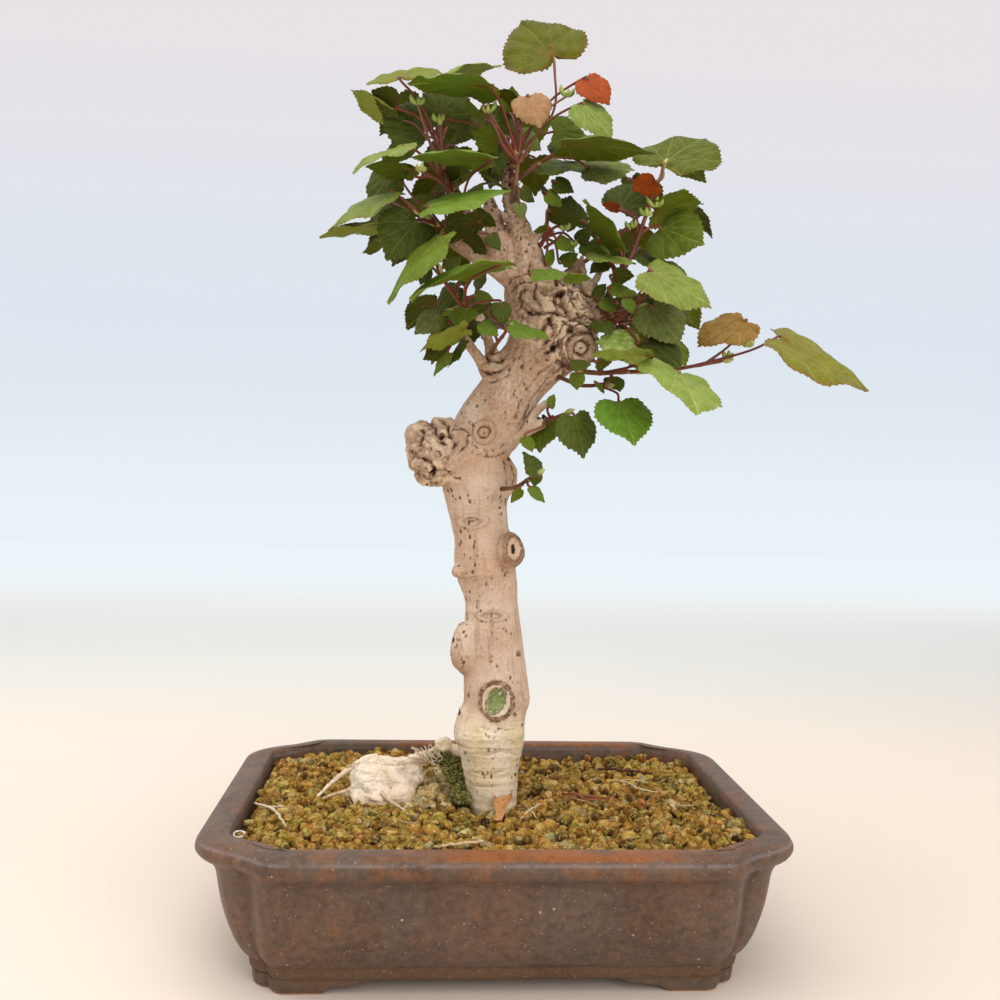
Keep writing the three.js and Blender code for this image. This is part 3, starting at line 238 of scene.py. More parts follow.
def glazed_clay():
    f = Finish("brown_glaze", roughness=0.3, specular=0.4)
    f.set("Specular Tint", tint("#f2d6bc"))
    p = f.place()
    x, y, z = f.axes(p)
    z = z / MM + SOLE_Z
    brown, umber, grey = tint("#655144"), tint("#4f3f35"), tint("#61574d")
    rust, orange = tint("#7d5034"), tint("#94531f")
    wide = f.cloud(p, 16, 4, 0.6)
    fine = f.cloud(p, 90, 5, 0.65)
    colour = f.blend(wide.ramp(0.35, 0.65), brown, umber)
    streak = f.cloud(f.moved(p, (1, 1, 0.5)), 26, 5, 0.6)
    colour = f.blend(streak.ramp(0.42, 0.68) * 0.55, colour, grey)
    warm = f.cloud(f.moved(p, shift=(3, 1, 2)), 38, 6, 0.7)
    rim = z.ramp(65, 71)
    colour = f.blend((warm.ramp(0.46, 0.66) * (0.18 + rim * 0.72)).clip(), colour, rust)
    middle = (x - 0.005).size().ramp(0.13, 0.02) * (z - 82.4).size().ramp(1.6, 0.6)
    colour = f.blend((middle * warm.ramp(0.3, 0.52) * 0.9).clip(), colour, orange)
    mauve = f.cloud(f.moved(p, shift=(6, 2, 8)), 24, 4, 0.6).ramp(0.42, 0.62)
    colour = f.blend((rim * mauve * 0.45 * x.size().ramp(0.1, 0.16)).clip(), colour, tint("#70594c"))
    mottle = f.cloud(p, 210, 5, 0.7)
    colour = f.blend((mottle.ramp(0.5, 0.64) * 0.35).clip(), colour, tint("#7d604b"))
    colour = f.blend((mottle.ramp(0.5, 0.36) * 0.4).clip(), colour, tint("#372c27"))
    rusty = f.cloud(f.moved(p, (1, 1, 0.35), (9, 4, 1)), 120, 5, 0.7).ramp(0.58, 0.68)
    colour = f.blend((rusty * 0.4).clip(), colour, tint("#8c5c38"))
    # painted highlight: a broken blue-grey line along the rim's outer top edge
    line = (z - 79.4).size().ramp(1.3, 0.2) * fine.ramp(0.32, 0.55)
    colour = f.blend((line * 0.35).clip(), colour, tint("#8d8488"))
    # painted shade under the rim's overhang
    shade_under_rim = (z - 66).size().ramp(4, 0.5) * 0.25
    colour = f.blend(shade_under_rim, colour, tint("#3a2c24"))
    band = (z - 7).size().ramp(5.5, 3.5)
    colour = f.blend((band * (0.3 + mottle * 0.5)).clip(), colour, tint("#5e4631"))
    colour = f.blend((band * f.cloud(p, 800, 3, 0.6).ramp(0.48, 0.66) * 0.4).clip(), colour, tint("#83684c"))
    grit = f.cells(p, 420).ramp(0.2, 0.1) * f.cloud(p, 150, 2).ramp(0.55, 0.62)
    chips = f.cells(f.moved(p, shift=(1, 2, 5)), 130).ramp(0.13, 0.07) * f.cloud(p, 60, 2).ramp(0.56, 0.62)
    speck = grit.most(chips)
    colour = f.blend((speck * 0.75).clip(), colour, tint("#b9aa98"))
    scratch = f.cloud(f.moved(p, (1, 1, 4), (1, 4, 2)), 30, 8, 0.8, 2.0)
    thin = (scratch - 0.5).size().ramp(0.006, 0.0) * f.cloud(p, 14, 2).ramp(0.56, 0.66)
    colour = f.blend((thin * 0.3).clip(), colour, tint("#a89a8a"))
    clay = (z - SOLE_Z).ramp(1.6, 0.5)
    colour = f.blend(clay, colour, tint("#c08a5c"))
    rough = 0.34 + fine * 0.22 + clay * 0.4 + thin * 0.2 + rim * 0.04 + band * 0.25
    relief = wide * 0.3 + fine * 0.4 + f.cloud(p, 240, 3, 0.6) * (0.12 + band * 0.5) + speck * 0.3
    return f.wear(colour, rough.clip(), relief, 0.35, 0.001)


def pale_bark():
    f = Finish("pale_bark", roughness=0.75, specular=0.2)
    p = f.place()
    x, y, z = f.axes(p)
    z = z / MM + SOLE_Z
    crease_shade_and_marks, gnarl, ridge = f.attribute("crease_shade_and_marks"), f.attribute("gnarl"), f.attribute("ridge")
    root, stain = f.attribute("root"), f.attribute("stain")
    wide = f.cloud(p, 25, 4, 0.6)
    patch = f.cloud(f.moved(p, (1, 1, 0.5), (4, 2, 1)), 70, 5, 0.65)
    fine = f.cloud(p, 190, 6, 0.7)
    colour = f.blend(wide.ramp(0.35, 0.7), tint("#d9bfa8"), tint("#c9a68a"))
    foot = (z + wide * 30).ramp(160, 142)
    colour = f.blend(foot, colour, f.blend(patch.ramp(0.35, 0.65), tint("#efdfc4"), tint("#e2cba0")))
    yellow = f.cloud(f.moved(p, (0.5, 0.5, 1.6), (2, 5, 1)), 60, 5, 0.6).ramp(0.5, 0.68)
    colour = f.blend((foot * yellow * 0.3).clip(), colour, tint("#b39a63"))
    upper = (z + wide * 30).ramp(300, 400) * (1 - gnarl)
    colour = f.blend((upper * patch.ramp(0.36, 0.62) * 0.75).clip(), colour, tint("#a2774f"))
    # painted shade in the burl's recesses and painted highlight on its ridges
    colour = f.blend((gnarl * (0.9 - ridge) * (0.45 + fine * 0.9)).clip(), colour, tint("#8c6440"))
    colour = f.blend((gnarl * ridge.ramp(0.45, 0.95) * 0.85).clip(), colour, tint("#ead2ac"))
    leader = (z + wide * 20).ramp(452, 492)
    colour = f.blend(leader * 0.8, colour, f.blend(patch.ramp(0.4, 0.6), tint("#a58a70"), tint("#755f4a")))
    colour = f.blend(root, colour, f.blend(patch.ramp(0.35, 0.65), tint("#f9ead6"), tint("#efd6b8")))
    grain = f.cloud(f.moved(p, (1, 1, 0.1)), 260, 4, 0.65)
    lines = grain.ramp(0.5, 0.72) * (0.55 - foot * 0.4) * (1 - gnarl * 0.7)
    colour = f.blend(lines.clip(), colour, tint("#9c7355"))
    wrinkle = f.cloud(f.moved(p, (0.3, 0.3, 2.6)), 100, 6, 0.65)
    level = (foot + (z - 250).size().ramp(90, 60) * 0.35).clip()
    colour = f.blend((level * wrinkle.ramp(0.53, 0.64) * 0.55).clip(), colour, tint("#98794e"))
    # lenticels: small dark marks in upright rows
    lane = f.cloud(f.moved(p, (1, 1, 0.02)), 85, 2, 0.5).ramp(0.5, 0.58)
    few = f.cloud(p, 70, 2, 0.5).ramp(0.46, 0.54)
    small = f.cells(f.moved(p, (1, 1, 0.55)), 300).ramp(0.33, 0.22)
    large = f.cells(f.moved(p, (1, 1, 0.7), (3, 1, 0)), 150).ramp(0.17, 0.12)
    dots = (small * (lane * 0.9 + 0.16) * few + large * few * 0.9).clip() * (1 - root * 0.5)
    colour = f.blend((dots * 0.85).clip(), colour, tint("#5b351f"))
    colour = f.blend((stain * (0.5 + fine * 0.7)).clip(), colour, tint("#8a6a4b"))
    speckle = fine.ramp(0.57, 0.66) * (leader * 0.8 + gnarl * 0.35 + root * 0.2)
    pits = f.cells(f.moved(p, shift=(5, 2, 7)), 330).ramp(0.4, 0.28) * fine.ramp(0.36, 0.44)
    speckle = speckle.most(pits * (leader * 0.9 + upper * 0.35))
    colour = f.blend(speckle.clip(), colour, tint("#4a3323"))
    green = f.attribute("green")
    living = f.blend(fine.ramp(0.42, 0.6), tint("#8b9a5c"), tint("#5f6e3a"))
    colour = f.blend(green, colour, f.blend(fine.ramp(0.58, 0.64), living, tint("#c9cfa4")))
    raw = f.attribute("cut")
    colour = f.blend((raw * 0.85).clip(), colour, tint("#dccbb2"))
    grit = f.cloud(p, 620, 5, 0.75)
    colour = f.blend((grit.ramp(0.52, 0.66) * (0.22 + gnarl * 0.4 + upper * 0.2)).clip(), colour, tint("#8b6344"))
    colour = f.blend((grit.ramp(0.48, 0.36) * (0.25 + gnarl * 0.3)).clip(), colour, tint("#eddcc4"))
    # painted shade in folds, cracks and holes, with real dark marks such as lenticels
    soft_dark = crease_shade_and_marks.ramp(0.1, 0.5) * grit.ramp(0.3, 0.55)
    colour = f.blend((soft_dark * 0.9).clip(), colour, tint("#6f482d"))
    dark = crease_shade_and_marks.ramp(0.45, 0.95) * patch.ramp(0.3, 0.5) * (0.5 + grit)
    colour = f.blend(dark.clip(), colour, tint("#35231a"))
    relief = grain * 0.3 + fine * 0.45 - speckle * 0.4 + grit * (0.35 + gnarl * 0.5)
    relief = relief + wrinkle * level * 0.8 - dots * 0.8
    return f.wear(colour, (0.85 - fine * 0.15).clip(), relief, 0.65, 0.0018)


def leaf_finish():
    f = Finish("leaf", roughness=0.5, specular=0.08)
    shade = f.attribute("shade", "Color")
    under = f.attribute("under")
    vary = f.attribute("vary")
    patchy = f.attribute("patchy")
    uv = f.node("ShaderNodeUVMap", {"uv_map": "blade"})
    shaken = f.node("ShaderNodeVectorMath", {"operation": "MULTIPLY_ADD"}, f.cloud_colour(uv, 5), (0.05,) * 3, uv)
    x, y, _ = f.axes(shaken)
    y = (y - 0.025).size()
    x = x - 0.025
    # main veins spread from the base, with side veins along the middle one
    vein = None
    for degrees, width in ((0, 0.010), (24, 0.007), (50, 0.007), (80, 0.006), (112, 0.005)):
        sin, cos = math.sin(math.radians(degrees)), math.cos(math.radians(degrees))
        off = (x * sin - y * cos).size()
        ahead = x * cos + y * sin
        line = off.ramp(width * 1.35, width * 0.3) * ahead.ramp(-0.01, 0.03)
        line = line * (1 - ahead * (0.55 if degrees else 0.25)).clip()
        vein = line if vein is None else vein.most(line)
    side = (x - y * 0.85) * 6.5 + f.cloud(uv, 3, 2) * 0.5
    stripe = (side.maths("FRACT") - 0.5).size().ramp(0.07, 0.015)
    wedge = (y - x * 0.47).ramp(0.02, -0.01)
    vein = vein.most(stripe * wedge * 0.45)
    across = (y - x * 0.35) * 6.5 + f.cloud(uv, 3, 2) * 0.5
    stripe = (across.maths("FRACT") - 0.5).size().ramp(0.08, 0.02)
    vein = vein.most(stripe * (1 - wedge) * 0.3)
    net = f.cells(f.moved(uv, shift=(2, 3, 0)), 26, "DISTANCE_TO_EDGE").ramp(0.07, 0.0)
    cloud = f.cloud(uv, 4, 4, 0.6)
    fine = f.cloud(uv, 26, 4, 0.6)
    colour = f.blend(cloud.ramp(0.3, 0.7), shade, f.blend(1.0, shade, tint("#dcdcb6"), "MULTIPLY"))
    colour = f.blend((vary * 0.25).clip(), colour, f.blend(1.0, colour, tint("#e8c890"), "MULTIPLY"))
    bright = f.attribute("veins", "Color")
    colour = f.blend((vein * 0.6).clip(), colour, bright)
    colour = f.blend((net * 0.13).clip(), colour, bright)
    pale = f.cloud(f.moved(uv, shift=(4, 1, 0)), 7, 5, 0.7).ramp(0.5, 0.58)
    colour = f.blend((patchy * pale * 0.8).clip(), colour, tint("#b5bb78"))
    spots = f.cells(uv, 22).ramp(0.2, 0.12) * f.cloud(uv, 9, 2).ramp(0.55, 0.65)
    colour = f.blend((spots * 0.35).clip(), colour, tint("#c6bf86"))
    # underside: paler than the top, and warmed to yellow-green as painted light in place of light shining through the
    # blade
    back = f.blend(0.5, colour, f.blend(1.0, shade, tint("#fff08c"), "MULTIPLY"))
    red = f.node("ShaderNodeVectorMath", {"operation": "LENGTH"}, uv, out="Value").ramp(0.6, 0.1)
    back = f.blend((vein * (0.3 + red * 0.6)).clip(), back, f.blend(red, tint("#a39a5c"), tint("#7c3f28")))
    colour = f.blend(under, colour, back)
    colour = f.blend((vein * red * f.attribute("redness")).clip(), colour, tint("#74301a"))
    margin = f.attribute("margin")
    colour = f.blend((margin * 0.45).clip(), colour, tint("#7a4a30"))
    relief = vein * -0.7 + fine * 0.25 + net * -0.2
    rough = 0.42 + fine * 0.12 + under * 0.25
    return f.wear(colour, rough.clip(), relief, 0.45, 0.0006)


def stalk_finish():
    f = Finish("red_stalk", roughness=0.45)
    p = f.place()
    shade = f.attribute("shade", "Color")
    fine = f.cloud(p, 300, 4, 0.6)
    wide = f.cloud(p, 60, 3, 0.6)
    colour = f.blend(wide.ramp(0.4, 0.7) * 0.5, shade, f.blend(1.0, shade, tint("#8a6a52"), "MULTIPLY"))
    colour = f.blend((fine.ramp(0.6, 0.75) * 0.4).clip(), colour, tint("#a58a66"))
    return f.wear(colour, (0.4 + fine * 0.25).clip(), fine, 0.3, 0.0004)


def granule_finish():
    f = Finish("soil_granules", roughness=0.95, specular=0.15)
    p = f.place()
    shade, film = f.attribute("shade", "Color"), f.attribute("film")
    fine = f.cloud(p, 340, 6, 0.75)
    wide = f.cloud(p, 150, 4, 0.65)
    colour = f.blend(wide.ramp(0.35, 0.65), shade, f.blend(1.0, shade, tint("#c4a476"), "MULTIPLY"))
    region = f.cloud(f.moved(p, shift=(1, 7, 3)), 17, 4, 0.65).ramp(0.36, 0.62)
    mossy = f.blend(fine.ramp(0.4, 0.6), tint("#8f8426"), tint("#c8bc58"))
    colour = f.blend((film * (0.16 + region * 0.6) * fine.ramp(0.25, 0.55)).clip(), colour, mossy)
    colour = f.blend((fine.ramp(0.47, 0.37) * 0.65).clip(), colour, tint("#55381a"))
    colour = f.blend((fine.ramp(0.52, 0.62) * 0.65).clip(), colour, tint("#edd083"))
    return f.wear(colour, None, fine + wide * 0.4, 1.0, 0.0026)


def painted_shade_soil():
    f = Finish("soil_between", roughness=1.0, specular=0.1)
    p = f.place()
    fine = f.cloud(p, 300, 5, 0.7)
    # dark brown: painted shade of the gaps between granules
    colour = f.blend(fine.ramp(0.4, 0.65), tint("#20170d"), tint("#4d3a1e"))
    return f.wear(colour, None, fine, 1.0, 0.002)


def moss_finish():
    f = Finish("moss", roughness=0.9, specular=0.2)
    p = f.place()
    shade = f.attribute("shade", "Color")
    fine = f.cloud(p, 500, 3, 0.6)
    colour = f.blend(fine.ramp(0.35, 0.7), shade, f.blend(1.0, shade, tint("#b3b07a"), "MULTIPLY"))
    return f.wear(colour, None, fine, 0.6, 0.0008)


def twig_finish():
    f = Finish("dry_twigs", roughness=0.8, specular=0.2)
    p = f.place()
    shade = f.attribute("shade", "Color")
    fine = f.cloud(p, 350, 5, 0.6)
    colour = f.blend(fine.ramp(0.4, 0.7) * 0.6, shade, f.blend(1.0, shade, tint("#93806a"), "MULTIPLY"))
    return f.wear(colour, None, fine, 0.5, 0.0006)


def screen_plastic():
    f = Finish("drain_screen", roughness=0.6)
    p = f.place()
    fine = f.cloud(p, 500, 4, 0.6)
    colour = f.blend(fine.ramp(0.4, 0.7), tint("#232526"), tint("#35383a"))
    return f.wear(colour, (0.5 + fine * 0.2).clip(), fine, 0.2, 0.0003)


def backdrop_finish():
    f = Finish("backdrop", roughness=0.9, specular=0.05)
    f.shader.inputs["Emission Strength"].default_value = 1.0
    x, y, z = f.axes(f.place())
    # far from the pot the backdrop glows: painted light in bands, bluish low, lavender high and paler far back, over a
    # near-black base
    far = z.ramp(0.0, 0.35).most(y.ramp(0.6, 2.2))
    floor = f.blend(y.ramp(0.1, 1.2), tint("#ecdccb"), tint("#ecece4"))
    f.set("Base Color", f.blend(far, floor, tint("#181818")))
    painted_backdrop_light = f.blend(z.ramp(0.05, 0.9), tint("#e8f1f5"), tint("#dce4ed"))
    painted_backdrop_light = f.blend(z.ramp(0.9, 2.1), painted_backdrop_light, tint("#e6e1e5"))
    painted_backdrop_light = f.blend(y.ramp(2.6, 1.2), painted_backdrop_light, tint("#f0f2ef"))
    f.set("Emission Color", f.blend(far, tint("#000000"), painted_backdrop_light))
    return f.material


# Mesh pieces
class Build:
    """Collects points in millimetres with their attributes and makes one piece of them."""

    def __init__(self):
        self.points = []
        self.faces = []
        self.values = {}

    def add(self, points, faces, **values):
        start = len(self.points)
        self.points.extend(points)
        self.faces.extend([[i + start for i in face] for face in faces])
        for name, value in values.items():
            column = self.values.setdefault(name, [])
            column.extend([None] * (start - len(column)))
            many = isinstance(value, list) and len(value) == len(points)
            column.extend(value if many else [value] * len(points))

    def raw(self, name):
        """The collected mesh as a bare object."""
        mesh = bpy.data.meshes.new(name)
        at = (np.array(self.points) * MM) + MIDDLE
        mesh.from_pydata(at.tolist(), [], self.faces)
        corners = np.zeros(len(mesh.loops), np.int32)
        mesh.loops.foreach_get("vertex_index", corners)
        for key, column in self.values.items():
            column.extend([None] * (len(self.points) - len(column)))
            if key == "uv":
                layer = mesh.uv_layers.new(name="blade")
                flat = np.array([(0, 0) if v is None else v for v in column], float)[corners]
                layer.data.foreach_set("uv", flat.ravel())
            elif key in ("shade", "veins"):
                layer = mesh.color_attributes.new(name=key, type="FLOAT_COLOR", domain="POINT")
                flat = np.array([(0, 0, 0, 1) if v is None else v for v in column], float)
                layer.data.foreach_set("color", flat.ravel())
            elif key != "part":
                layer = mesh.attributes.new(name=key, type="FLOAT", domain="POINT")
                layer.data.foreach_set("value", np.array([v or 0.0 for v in column], float))
        if "part" in self.values:
            part = np.array(self.values["part"])
            first = np.array([face[0] for face in self.faces])
            mesh.polygons.foreach_set("material_index", part[first])
        mesh.validate()
        piece = bpy.data.objects.new(name, mesh)
        bpy.context.scene.collection.objects.link(piece)
        return piece

    def finish(self, name, material, slot, replaces=(), smooth=50, second=None, merge=0):
        piece = self.raw(name)
        if merge:
            alone(piece)
            bpy.ops.object.mode_set(mode="EDIT")
            bpy.ops.mesh.select_all(action="SELECT")
            bpy.ops.mesh.remove_doubles(threshold=merge * MM)
            bpy.ops.mesh.normals_make_consistent(inside=False)
            bpy.ops.object.mode_set(mode="OBJECT")
        return dress(piece, material, replaces, smooth, second)


def dress(piece, material, replaces=(), smooth=50, second=None):
    """Material, shading and what the piece stands for."""
    for made in (material, second):
        if made:
            piece.data.materials.append(made)
    shade_round(piece, smooth)
    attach(piece, "root")
    if replaces:
        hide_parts(*replaces)
    return piece


def alone(piece):
    bpy.ops.object.select_all(action="DESELECT")
    piece.select_set(True)
    bpy.context.view_layer.objects.active = piece


def shade_round(piece, degrees):
    alone(piece)
    bpy.ops.object.shade_smooth_by_angle(angle=math.radians(degrees))


def ring_faces(rows, count):
    """Quads between rows of count points each."""
    faces = []
    for r in range(rows - 1):
        for i in range(count):
            j = (i + 1) % count
            faces.append([r * count + i, r * count + j, (r + 1) * count + j, (r + 1) * count + i])
    return faces


def tube(build, path, radii, sides=8, **values):
    """A round tube along a path."""
    points = []
    across = None
    for i, place in enumerate(path):
        along = unit(path[min(i + 1, len(path) - 1)] - path[max(i - 1, 0)])
        if across is None:
            across = np.array([0, 1.0, 0]) if abs(along[1]) < 0.9 else np.array([1.0, 0, 0])
        across = unit(across - along * (across @ along))
        other = np.cross(along, across)
        radius = radii[i] if isinstance(radii, (list, np.ndarray)) else radii
        for s in range(sides):
            angle = (s + 0.5) / sides * math.tau
            points.append(place + (across * math.cos(angle) + other * math.sin(angle)) * radius)
    last = (len(path) - 1) * sides
    ends = [list(range(sides))[::-1], [last + i for i in range(sides)]]
    build.add(points, ring_faces(len(path), sides) + ends, **values)


def ball(level):
    """Points and faces of a round start of radius 1."""
    bpy.ops.mesh.primitive_ico_sphere_add(subdivisions=level, radius=1)
    start = bpy.context.object
    points = read_points(start.data)
    faces = [list(f.vertices) for f in start.data.polygons]
    bpy.data.objects.remove(start)
    return points, faces


def read_points(mesh):
    flat = np.zeros(len(mesh.vertices) * 3)
    mesh.vertices.foreach_get("co", flat)
    return flat.reshape(-1, 3)


# Pot
RIM_HALF_LENGTH = 175
RIM_HALF_WIDTH = 135
RIM_Z = 83
UNDERSIDE_Z = 3.0
FLOOR_Z = 12.0
DRAIN_X = 80
DRAIN_RADIUS = 9
DRAIN_SIDES = 28
RIM_CORNER = [(0, 50), (2, 40), (9, 29), (21, 20), (27, 17), (36, 10), (44, 3), (53, 0)]
BODY_CORNER = [(0, 46), (1.5, 36), (7, 25.5), (17, 19), (22, 18), (26, 10.5), (31, 3.5), (40, 0)]
INNER_CORNER = [(0, 31), (1, 27), (5, 21.5), (13, 14.5), (17, 11), (23, 6), (28, 1.5), (33, 0)]
LONG_STEPS = (0.012, 0.03, 0.045, 0.06, 0.08, 0.094, 0.1, 0.112, 0.13, 0.155, 0.18, 0.2, 0.22, 0.3, 0.4)
SHORT_STEPS = (0.02, 0.04, 0.07, 0.1, 0.13, 0.16, 0.19, 0.22, 0.25, 0.28, 0.35, 0.42)


def pot_ring(inset, z, notch=None, size=1.0, shorter=0.0):
    """One level of the pot. Notch 0 is the rim's corner, 1 the body's, None the inside's."""
    if notch is None:
        corner = INNER_CORNER
    else:
        corner = [lerp(np.array(a), np.array(b), notch) * size for a, b in zip(RIM_CORNER, BODY_CORNER)]
    corner = [np.array(p) for p in smooth_line(corner, 4)]
    side_x, side_y = RIM_HALF_LENGTH - inset - shorter, RIM_HALF_WIDTH - inset
    front_right = [(side_x - u, v - side_y) for u, v in corner[::-1]]
    back_right = [(side_x - u, side_y - v) for u, v in corner]
    back_left = [(u - side_x, side_y - v) for u, v in corner[::-1]]
    front_left = [(u - side_x, v - side_y) for u, v in corner]
    ring = []
    corners = [front_right, back_right, back_left, front_left]
    for k, points in enumerate(corners):
        ring.extend(points)
        start, end = np.array(points[-1]), np.array(corners[(k + 1) % 4][0])
        steps = SHORT_STEPS if k % 2 == 0 else LONG_STEPS
        for t in [*steps, 0.5, *[1 - s for s in steps[::-1]]]:
            ring.append(lerp(start, end, t))
    return [np.array([x, y, z]) for x, y in ring]


# Inset, height, depth of the corner's crease, size of the corner, how much more the short sides go in
POT_OUTSIDE = [
    (36, 3, 1, 0.5, 2), (32.8, 3.05, 1, 0.51, 2), (31.5, 3.4, 1, 0.52, 2), (30.4, 4.3, 1, 0.525, 2),
    (29.7, 5.6, 1, 0.53, 2), (29.3, 8, 1, 0.54, 1.9), (29.4, 10.2, 1, 0.55, 1.8), (29.2, 11.0, 1, 0.555, 1.7),
    (28.2, 11.9, 1, 0.565, 1.6), (26.7, 13.4, 1, 0.585, 1.6), (24.6, 16, 1, 0.62, 1.5), (22.3, 19.6, 1, 0.67, 1.5),
    (20, 24, 1, 0.72, 1.5), (17.5, 30, 1, 0.79, 1.4), (15.4, 36, 1, 0.85, 1.2), (13.5, 43, 1, 0.9, 1.1),
    (12, 50, 1, 0.95, 1), (11.1, 57, 1, 0.98, 0.7), (10.4, 61.0, 1, 1, 0.5), (9.6, 63.8, 0.95, 1, 0.3),
    (8.4, 66.0, 0.82, 1, 0.2), (6.8, 67.8, 0.62, 1, 0.1), (5.0, 69.2, 0.42, 1, 0), (3.2, 70.4, 0.24, 1, 0),
    (1.7, 71.7, 0.1, 1, 0), (0.7, 73.1, 0.03, 1, 0), (0.1, 74.7, 0, 1, 0), (0, 76, 0, 1, 0), (0.2, 77.4, 0, 1, 0),
    (0.8, 79, 0, 1, 0), (1.9, 80.7, 0, 1, 0), (3.6, 81.8, 0, 1, 0), (6, 82.4, 0, 1, 0), (9, 82.8, 0, 1, 0),
    (12, 83, 0, 1, 0),
]
POT_INSIDE = [
    (17.0, 83), (18.2, 82.7), (19.0, 81.8), (19.5, 79.5), (20.2, 72), (22, 43), (30, 22), (42, 13), (50, 12),
]
FOOT_TOP_Z = 4.0


def foot_height(x, y):
    """How high the underside of the foot skirt is at a place of its outline."""
    if abs(y) > 87:
        t = clamp((99 - abs(x)) / 32)
    else:
        t = clamp((60 - abs(y)) / 22)
    curve = [(0, 0), (0.04, 0.14), (0.1, 0.3), (0.25, 0.42), (0.5, 0.5), (0.7, 0.6), (0.85, 0.8), (1, 1.1)]
    return lerp(SOLE_Z, FOOT_TOP_Z, float(np.interp(t, *zip(*curve))))


def make_pot():
    rings = [pot_ring(*row) for row in POT_OUTSIDE]
    rings += [pot_ring(inset, z) for inset, z in POT_INSIDE]
    count = len(rings[0])
    build = Build()
    build.add([p for ring in rings for p in ring], ring_faces(len(rings), count))
    # floor and underside: filled round the two drain holes
    turns = [k / DRAIN_SIDES * math.tau for k in range(DRAIN_SIDES)]
    circle = [(DRAIN_RADIUS * math.cos(a), DRAIN_RADIUS * math.sin(a)) for a in turns]
    for z, ring in ((FLOOR_Z, rings[-1]), (UNDERSIDE_Z, rings[0])):
        bm = bmesh.new()
        loops = [ring] + [[(x + u, v, z) for u, v in circle] for x in (-DRAIN_X, DRAIN_X)]
        edges = []
        for loop in loops:
            verts = [bm.verts.new(p) for p in loop]
            edges += [bm.edges.new((verts[i - 1], verts[i])) for i in range(len(verts))]
        bmesh.ops.triangle_fill(bm, use_beauty=True, edges=edges, normal=(0, 0, 1))
        bm.verts.index_update()
        build.add([np.array(v.co) for v in bm.verts], [[v.index for v in f.verts] for f in bm.faces])
        bm.free()
    for x in (-DRAIN_X, DRAIN_X):
        walls = [np.array([x + u, v, z]) for z in (UNDERSIDE_Z, FLOOR_Z) for u, v in circle]
        build.add(walls, ring_faces(2, DRAIN_SIDES))
    # foot skirt: outer wall, soles and inner wall
    strips = []
    for inset, up in ((31.2, 1), (31.3, 0.5), (31.8, 0.14), (33.2, 0), (46.2, 0), (47, 0.1), (47, 1)):
        row = []
        for p in pot_ring(inset, 0, 1, 0.48, 2):
            low = foot_height(p[0], p[1])
            row.append(np.array([p[0], p[1], lerp(min(low, FOOT_TOP_Z), FOOT_TOP_Z, up)]))
        strips.append(row)
    build.add([p for row in strips for p in row], ring_faces(len(strips), count))
    return build.finish("glazed_pot", glazed_clay(), "glaze", ["pot"], smooth=42, merge=0.02)


# Woody body
TRUNK_RINGS = [
    (496, 840, 19), (493, 808, 23), (491.5, 790, 25), (490.5, 766, 28.5), (489.8, 745, 33), (488.5, 733, 35.5),
    (492, 713, 34), (496.5, 702, 32.5), (495.7, 678, 31.8), (495, 655, 30), (493, 634, 29), (491.5, 602, 26.5),
    (487.5, 582, 29.5), (484, 560, 30), (481.5, 538, 27.5), (476.5, 502, 30.5), (478, 484, 36), (474, 465, 36),
    (472, 450, 38), (487, 430, 37), (494.5, 415, 36.5), (503.5, 400, 36.5), (520, 380, 38), (538, 360, 44),
    (551, 341, 43), (551, 325, 41), (546, 307, 41), (538, 290, 34), (535, 278, 26), (530, 265, 18), (526, 250, 15.5),
    (521.5, 237, 13), (517, 222, 10), (512, 205, 8), (509, 190, 6.5), (508, 165, 5.5), (505.5, 145, 5),
    (505, 136, 4.6),
]
FOOT_DEPTH = -14
